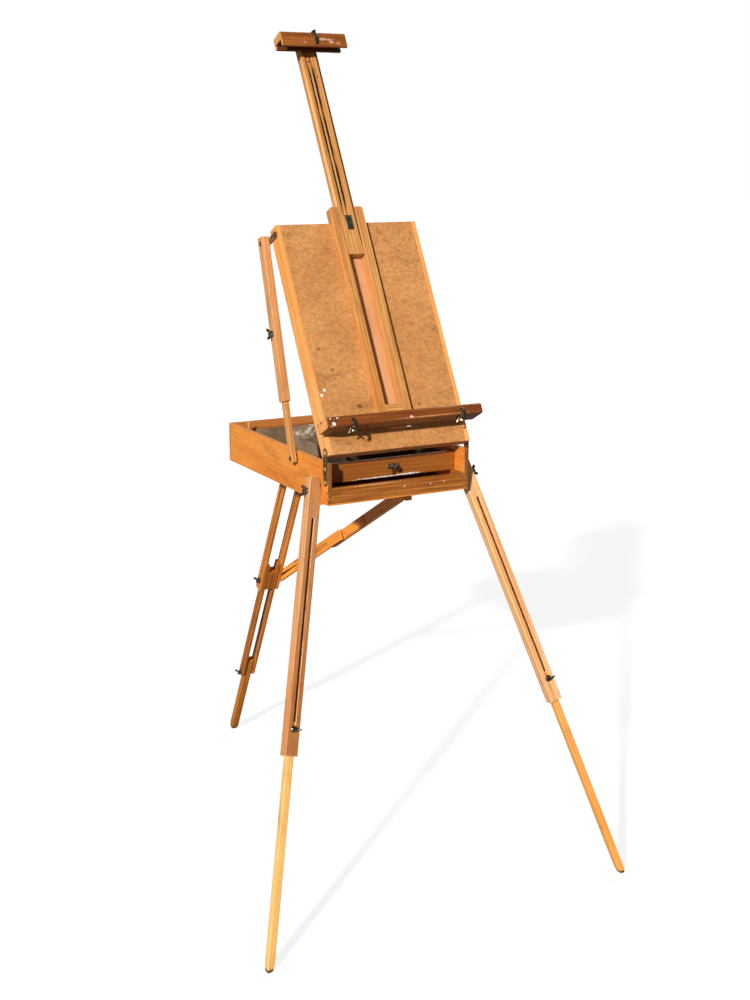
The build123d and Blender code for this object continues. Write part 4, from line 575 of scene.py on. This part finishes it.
grainOf = {   # node: (wood, along the grain, the way its broad face looks)
    "box_bottom": ("honey", away, upright), "box_side_left": ("honey", away, -across),
    "box_side_right": ("honey", away, across), "box_back": ("honey", across, away),
    "box_front_rail": ("front", across, -away), "side_laths": ("honey", away, upright),
    "drawer_runners": ("drawer", away, upright), "leg_wedges": ("honey", away, across),
    "rear_hinge_block": ("honey", across, away), "strut_anchor": ("honey", away, across),
    "drawer_front": ("drawer", across, -away), "drawer_sides": ("drawer", away, across),
    "drawer_back": ("drawer", across, away), "drawer_bottom": ("drawer", across, upright),
    "lid_side_left": ("honey", lidUp, -across), "lid_side_right": ("honey", lidUp, across),
    "lid_end_top": ("honey", across, lidUp), "channel_rails": ("rail", lidUp, lidOut),
    "channel_board": ("board", lidUp, lidOut), "tray_block": ("rail", across, lidOut),
    "tray": ("tray", across, lidOut), "mast_bar": ("rail", lidUp, lidOut),
    "clamp_lower_bar": ("clamp", across, lidOut), "clamp_upper_bar": ("clamp", across, lidOut),
    "brace_lower": ("rail", braceUp, -across), "brace_upper": ("leg", braceUp, -across),
    "rear_rails": ("rear", rearDown, across), "middle_rails": ("rear", rearDown, across),
    "rear_foot": ("rear", rearDown, across), "strut_upper": ("rear", strutAway, across),
    "strut_lower": ("rear", strutAway, across), "lid_end_bottom": ("rail", lidUp, lidOut),
    "leg_upper_left": ("leg", legUp(-1), legFront(-1)), "leg_upper_right": ("leg", legUp(1), legFront(1)),
    "leg_lower_left": ("pale", legUp(-1), legFront(-1)), "leg_lower_right": ("pale", legUp(1), legFront(1)),
}
rightLeg = {"pale": (0.94, 0.560, 0.270), "warm": (0.84, 0.440, 0.180), "streak": (0.48, 0.180, 0.055)}
strutLath = {"pale": (1.00, 0.405, 0.068), "warm": (0.90, 0.320, 0.048), "streak": (0.50, 0.140, 0.015)}
lidSide = {"pale": (0.90, 0.440, 0.140), "warm": (0.80, 0.340, 0.090), "streak": (0.46, 0.160, 0.030)}
rearLow = {"pale": (0.58, 0.205, 0.028), "warm": (0.45, 0.138, 0.014), "streak": (0.22, 0.060, 0.005)}


def furthest(node, direction):
    return max(v.co.dot(direction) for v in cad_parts[node].data.vertices)


def dress(node, material):
    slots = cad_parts[node].data.materials
    slots.clear()
    slots.append(material)


changesOf = {   # boards that differ from the rest of their wood
    "lid_end_bottom": {"pale": (0.66, 0.29, 0.10), "warm": (0.56, 0.225, 0.07), "streak": (0.34, 0.12, 0.03),
                       "rings": 0.1, "streaks": 0.7, "flecks": 0.5},
    "leg_upper_right": rightLeg, "strut_upper": strutLath, "strut_lower": strutLath,
    # painted shade: the left upper leg's front face is darkened by this tint, for the way the light falls
    "leg_upper_left": {"paintedFrontShade": (0.76, 0.70, 0.66), "frontDepth": 0.0022,
                       "frontAt": furthest("leg_upper_left", legFront(-1))},
    "mast_bar": {"frontDepth": 0.0105, "frontAt": furthest("mast_bar", lidOut)},
    # painted shade: the lower clamp bar is darkened as if in the upper bar's shadow
    "clamp_lower_bar": {"pale": (0.18, 0.050, 0.010), "warm": (0.13, 0.032, 0.005),
                        "streak": (0.05, 0.011, 0.001)},
    "lid_side_left": lidSide, "lid_side_right": lidSide, "middle_rails": rearLow, "rear_foot": rearLow,
    "side_laths": {"pale": (0.80, 0.41, 0.19), "warm": (0.68, 0.31, 0.12), "streak": (0.38, 0.14, 0.04)},
    "leg_lower_right": {"pale": (0.87, 0.395, 0.092), "warm": (0.79, 0.325, 0.062),
                        "streak": (0.54, 0.20, 0.032)},
    "box_back": {"pale": (0.62, 0.25, 0.07), "warm": (0.50, 0.18, 0.045), "streak": (0.26, 0.08, 0.016)},
}
for seed, (node, (wood, along, facing)) in enumerate(grainOf.items()):
    dress(node, makeWood(node + "Wood", wood, along, facing, seed + 1, markOf.get(node, ()),
                         **changesOf.get(node, {})))
dress("lid_panel", makePly("lidPanelPly", across, lidOut, 3, lidMarks))
print("wood done")

metals = {
    "darkBronze": {"dark": (0.050, 0.038, 0.026), "bare": (0.72, 0.64, 0.50), "rough": (0.20, 0.44),
                   "edges": 0.8, "metallic": 0.95},
    "platedBrass": {"dark": (0.62, 0.38, 0.12), "bare": (0.95, 0.74, 0.40), "rough": (0.24, 0.40),
                    "edges": 0.8, "metallic": 0.35},
    "linkMetal": {"dark": (0.11, 0.062, 0.022), "bare": (0.78, 0.55, 0.27), "rough": (0.26, 0.46),
                  "edges": 1.0, "metallic": 0.80},
    "springMetal": {"dark": (0.055, 0.056, 0.036), "bare": (0.34, 0.32, 0.24), "rough": (0.40, 0.60),
                    "edges": 0.8, "metallic": 0.85},
}
metalNodes = {
    "darkBronze": [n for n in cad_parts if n.endswith("_wing") or "_wing_" in n] +
                  ["tray_hooks", "clamp_hook", "latch_knob"],
    "platedBrass": ["link_rivets"], "springMetal": ["spring_plate"],
    "linkMetal": ["latch_plate", "link_plates", "hinge_pins", "handle_plates", "brace_bracket"]}
metalOf = {}
for seed, (finish, metal) in enumerate(metals.items()):
    metalOf[finish] = makeBronze(finish, metal, seed + 1)
    for node in metalNodes[finish]:
        dress(node, metalOf[finish])
zincSheet = makeZinc("zincSheet")
zincNodes = ["zinc_tray", "zinc_dividers"]
for node in zincNodes:
    dress(node, zincSheet)
dress("handle_strap", makeLeather("strapLeather"))
print("metal, zinc and leather done")

softEdges = {"wood": 0.0009, "thinWood": 0.0005, "metal": 0.0004, "segments": 2, "sharperThan": 32.0,
             "samePoint": 0.00001}
thinWood = ("tray_block", "channel_board", "leg_wedges", "side_laths", "drawer_bottom", "strut_upper")
allMetal = sum(metalNodes.values(), zincNodes)
for node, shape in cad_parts.items():
    kind = "metal" if node in allMetal else "thinWood" if node in thinWood else "wood"
    shape.modifiers.new("weld", "WELD").merge_threshold = softEdges["samePoint"]
    rounding = shape.modifiers.new("softEdge", "BEVEL")
    rounding.width = softEdges[kind]
    rounding.segments = softEdges["segments"]
    rounding.limit_method = "ANGLE"
    rounding.angle_limit = math.radians(softEdges["sharperThan"])
    rounding.use_clamp_overlap = True
print("edges softened")

# small pieces that the CAD part leaves out

def addPiece(name, shape, material, body):
    bmesh.ops.recalc_face_normals(shape, faces=shape.faces)
    mesh = bpy.data.meshes.new(name)
    shape.to_mesh(mesh)
    shape.free()
    mesh.materials.append(material)
    made = bpy.data.objects.new(name, mesh)
    bpy.context.scene.collection.objects.link(made)
    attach(made, body)
    return made


def moveInto(shape, verts, facing, upwards, centre):   # turns z to the facing and sets the shape in place
    outwards = Vector(facing).normalized()
    sideways = Vector(upwards).cross(outwards).normalized()
    turn = Matrix((sideways, outwards.cross(sideways), outwards)).transposed().to_4x4()
    bmesh.ops.transform(shape, matrix=Matrix.Translation(centre) @ turn, verts=verts)


def roundHead(size):   # a low cylinder with a domed top, facing up
    shape = bmesh.new()
    bmesh.ops.create_cone(shape, cap_ends=True, segments=size["segments"], radius1=size["radius"],
                          radius2=size["radius"], depth=size["height"])
    rim = [e for e in shape.edges if all(v.co.z > 0 for v in e.verts)]
    bmesh.ops.bevel(shape, geom=rim, offset=size["height"] * size["dome"], segments=5, profile=0.5,
                    affect="EDGES", material=-1)
    return shape


def cutSlot(shape, size):
    top = size["height"] / 2
    crown = max(shape.faces, key=lambda f: (round(f.calc_center_median().z, 6), f.calc_area()))
    half = (size["slotWidth"] / 2, size["slotLength"] / 2)
    piece = [crown] + list(crown.edges) + list(crown.verts)
    for axis in (0, 1):
        for sign in (-1, 1):
            spot, normal = Vector((0, 0, top)), Vector((0, 0, 0))
            spot[axis] = sign * half[axis]
            normal[axis] = 1
            cut = bmesh.ops.bisect_plane(shape, geom=piece, plane_co=spot, plane_no=normal)
            piece = [g for g in cut["geom"] if g.is_valid]
    flatFaces = [f for f in shape.faces if f.normal.z > 0.99]
    slotFace = min(flatFaces, key=lambda f: f.calc_center_median().xy.length)
    sunk = bmesh.ops.extrude_face_region(shape, geom=[slotFace])["geom"]
    bmesh.ops.delete(shape, geom=[slotFace], context="FACES_ONLY")
    bmesh.ops.translate(shape, verts=[g for g in sunk if isinstance(g, bmesh.types.BMVert)],
                        vec=(0, 0, -size["slotDepth"]))


screwLarge = {"radius": 0.0062, "height": 0.0030, "dome": 0.8, "segments": 28, "slotWidth": 0.0013,
              "slotLength": 0.0066, "slotDepth": 0.0010}
screwSmall = {"radius": 0.0034, "height": 0.0016, "dome": 0.8, "segments": 24, "slotWidth": 0.0008,
              "slotLength": 0.0040, "slotDepth": 0.0006}
strutTop = Vector((0, -0.292, 0.919))
screws = [   # name, size, centre, facing, slot direction, body
    ("braceScrew", screwLarge, Vector((-0.2055, -0.0665, 1.5020)), -across, Vector((0, 1, 2)),
     "brace_sleeve"),
    ("bracketScrewFront", screwSmall, onLid(-0.1862, 0.540, -0.012), -across, lidUp, "lid"),
    ("bracketScrewBack", screwSmall, onLid(-0.1862, 0.540, -0.026), -across, lidOut, "lid"),
    ("splintScrewUpper", screwSmall, strutTop + strutAway * 0.212 + across * 0.0383, -across, upright,
     "strut_top"),
    ("splintScrewLower", screwSmall, strutTop + strutAway * 0.314 + across * 0.0383, -across, away,
     "strut_top"),
]
for name, size, centre, facing, upwards, body in screws:
    shape = roundHead(size)
    cutSlot(shape, size)
    moveInto(shape, shape.verts, facing, upwards, centre)
    addPiece(name, shape, metalOf["linkMetal"], body)
print("screws done")

pinHead = {"radius": 0.0050, "height": 0.0024, "dome": 0.8, "segments": 24, "x": 0.0281, "y": 0.1765,
           "z": 0.919}
for name, sign in (("rearPinHeadLeft", -1), ("rearPinHeadRight", 1)):
    shape = roundHead(pinHead)
    moveInto(shape, shape.verts, across * sign, upright,
             Vector((sign * pinHead["x"], pinHead["y"], pinHead["z"])))
    addPiece(name, shape, metalOf["linkMetal"], "rear_leg")
print("pin heads done")

peg = {"radius": 0.0038, "low": 1.010, "high": 1.0385, "x": -0.1470, "y": 0.1515, "round": 0.0010,
       "segments": 20}
shape = bmesh.new()
bmesh.ops.create_cone(shape, cap_ends=True, segments=peg["segments"], radius1=peg["radius"],
                      radius2=peg["radius"], depth=peg["high"] - peg["low"])
bmesh.ops.bevel(shape, geom=[e for e in shape.edges if all(v.co.z > 0 for v in e.verts)], offset=peg["round"],
                segments=3, profile=0.5, affect="EDGES", material=-1)
moveInto(shape, shape.verts, upright, away, Vector((peg["x"], peg["y"], (peg["low"] + peg["high"]) / 2)))
addPiece("cornerPeg", shape, makeWood("pegWood", "leg", upright, -away, 60), "box")

stitch = {"radius": 0.00055, "length": 0.0040, "step": 0.0062, "count": 14, "x": 0.2108, "y": -0.0885,
          "z": 1.004, "rows": (-0.0072, 0.0072), "dark": (0.40, 0.30, 0.18), "light": (0.66, 0.54, 0.36),
          "twist": (900, 2400, 900), "rough": (0.55, 0.75)}
shape = bmesh.new()
for row in stitch["rows"]:
    for place in range(stitch["count"]):
        made = bmesh.ops.create_uvsphere(shape, u_segments=8, v_segments=6, radius=stitch["radius"])["verts"]
        bmesh.ops.scale(shape, vec=(1, 1, stitch["length"] / 2 / stitch["radius"]), verts=made)
        along = stitch["y"] + (place - (stitch["count"] - 1) / 2) * stitch["step"]
        moveInto(shape, made, away, upright, Vector((stitch["x"], along, stitch["z"] + row)))
thread, tree, surface = startMaterial("waxedThread")
where = addNode(tree, "ShaderNodeTexCoord", (-900, 0)).outputs["Object"]
twist = noiseOn(tree, where, stitch["twist"], 2, (-500, 0))
fill(tree, surface, {"Base Color": mixed(tree, twist, stitch["dark"], stitch["light"], (-300, 0)),
                     "Roughness": ranged(tree, twist, 0.3, 0.7, (-300, -200), *stitch["rough"])})
addPiece("handleStitches", shape, thread, "box")
print("peg and stitches done")

tips = {   # how narrow each tip has worn, and over what height
    "leg_lower_left": 0.62, "leg_lower_right": 0.50, "rear_foot": 0.42, "worn": 0.022,
    "rings": (0.0015, 0.0035, 0.0065, 0.0105, 0.0155), "corner": 0.0034, "longEdge": 0.05,
    "sharperThan": 50, "sameHeight": 0.0003, "upright": 0.001, "slack": 0.0002}
sharp = math.radians(tips["sharperThan"])
for node, body, slotName in (("leg_lower_left", "leg_bar_left", "pale_wood"),
                             ("leg_lower_right", "leg_bar_right", "pale_wood"),
                             ("rear_foot", "rear_foot", "leg_wood")):
    shape = bmesh.new()
    shape.from_mesh(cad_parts[node].data)
    bmesh.ops.remove_doubles(shape, verts=shape.verts, dist=softEdges["samePoint"])
    bmesh.ops.dissolve_limit(shape, angle_limit=math.radians(1), verts=shape.verts, edges=shape.edges)
    sole = min(shape.faces, key=lambda f: f.calc_center_median().z)
    under, inward = sole.calc_center_median(), -sole.normal
    for height in tips["rings"] + (tips["worn"],):
        bmesh.ops.bisect_plane(shape, geom=list(shape.verts) + list(shape.edges) + list(shape.faces),
                               plane_co=under + inward * height, plane_no=inward)
    corners = [e for e in shape.edges if abs((e.verts[0].co - e.verts[1].co).dot(inward)) > tips["upright"]
               and max((v.co - under).dot(inward) for v in e.verts) < tips["worn"] + tips["slack"]
               and e.calc_face_angle(0) > sharp]
    for height in (0.0,) + tips["rings"]:
        ring = [v for v in shape.verts if abs((v.co - under).dot(inward) - height) < tips["sameHeight"]]
        middle = under + inward * height
        middle = middle + sum((v.co - middle for v in ring), Vector()) / len(ring)
        space = Matrix.Translation(middle) @ inward.to_track_quat("Z", "Y").to_matrix().to_4x4()
        worn = tips[node] + (1 - tips[node]) * math.sqrt(1 - (1 - height / tips["worn"]) ** 2)
        bmesh.ops.scale(shape, vec=(worn, worn, 1), space=space.inverted(), verts=ring)
    bmesh.ops.bevel(shape, geom=corners, offset=tips["corner"], segments=4, profile=0.5, affect="EDGES",
                    material=-1)
    long = [e for e in shape.edges if len(e.link_faces) == 2 and e.calc_face_angle(0) > sharp
            and e.calc_length() > tips["longEdge"]]
    bmesh.ops.bevel(shape, geom=long, offset=softEdges["wood"], segments=softEdges["segments"], profile=0.5,
                    affect="EDGES", material=-1)
    foot = addPiece(node + "Rounded", shape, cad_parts[node].data.materials[0], body)
    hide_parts(node)
print("rounded feet done")

# floor, light and camera

studio = {"floorSize": 60.0, "floorColour": (0.20, 0.204, 0.21), "floorGlow": 0.800,
          "keyFrom": (-0.69, -0.59, 0.42), "keyPower": 4.9, "keySoftness": 2.5,
          "backFrom": (0.72, 0.58, 0.38), "backPower": 1.7, "backSoftness": 25.0,
          "lampColour": (1.0, 0.97, 0.92), "fill": 0.16, "backdrop": 1.0, "floorRoughness": 0.9}
floorShape = bmesh.new()
bmesh.ops.create_grid(floorShape, x_segments=2, y_segments=2, size=studio["floorSize"] / 2)
floorMesh = bpy.data.meshes.new("floor")
floorShape.to_mesh(floorMesh)
floorShape.free()
floor = bpy.data.objects.new("floor", floorMesh)
bpy.context.scene.collection.objects.link(floor)
floorPaint, tree, surface = startMaterial("floorPaint")
seenFirst = addNode(tree, "ShaderNodeLightPath", (-400, -300)).outputs["Is Camera Ray"]
glow = sums(tree, "MULTIPLY", seenFirst, studio["floorGlow"], (-200, -300))
fill(tree, surface, {"Base Color": studio["floorColour"], "Roughness": studio["floorRoughness"],
                     "Emission Color": (1, 1, 1), "Emission Strength": glow})
floorMesh.materials.append(floorPaint)

for name in ("key", "back"):
    lamp = bpy.data.lights.new(name, "SUN")
    lamp.energy = studio[name + "Power"]
    lamp.angle = math.radians(studio[name + "Softness"])
    lamp.color = studio["lampColour"]
    light = bpy.data.objects.new(name, lamp)
    light.rotation_mode = "QUATERNION"
    light.rotation_quaternion = Vector(studio[name + "From"]).to_track_quat("Z", "Y")
    bpy.context.scene.collection.objects.link(light)

world = bpy.data.worlds.new("studio")
world.use_nodes = True
bpy.context.scene.world = world
skyTree = world.node_tree
sky = skyTree.nodes["Background"]
fill(skyTree, sky.inputs, {"Color": (1, 1, 1), "Strength": studio["fill"]})
seen = addNode(skyTree, "ShaderNodeBackground", (0, -200), {"Color": (1, 1, 1),
                                                            "Strength": studio["backdrop"]})
path = addNode(skyTree, "ShaderNodeLightPath", (-200, 200))
pick = addNode(skyTree, "ShaderNodeMixShader", (200, 0), {
    0: path.outputs["Is Camera Ray"], 1: sky.outputs[0], 2: seen.outputs[0]})
skyTree.links.new(pick.outputs[0], skyTree.nodes["World Output"].inputs["Surface"])

view = {"lens": 71.55, "place": (-1.6491, -3.2770, 1.7444), "yaw": 28.58, "pitch": -13.69, "roll": 0.16}
cameraData = bpy.data.cameras.new("camera")
cameraData.sensor_fit = "HORIZONTAL"
cameraData.sensor_width = 36
cameraData.lens = view["lens"]
camera = bpy.data.objects.new("camera", cameraData)
yaw, pitch = math.radians(view["yaw"]), math.radians(view["pitch"])
forward = Vector((math.sin(yaw) * math.cos(pitch), math.cos(yaw) * math.cos(pitch), math.sin(pitch)))
turn = forward.to_track_quat("-Z", "Y") @ Matrix.Rotation(math.radians(view["roll"]), 3, "Z").to_quaternion()
camera.rotation_mode = "QUATERNION"
camera.rotation_quaternion = turn
camera.location = view["place"]
bpy.context.scene.collection.objects.link(camera)
bpy.context.scene.camera = camera
bpy.context.scene.view_settings.view_transform = "Standard"
print("studio done")
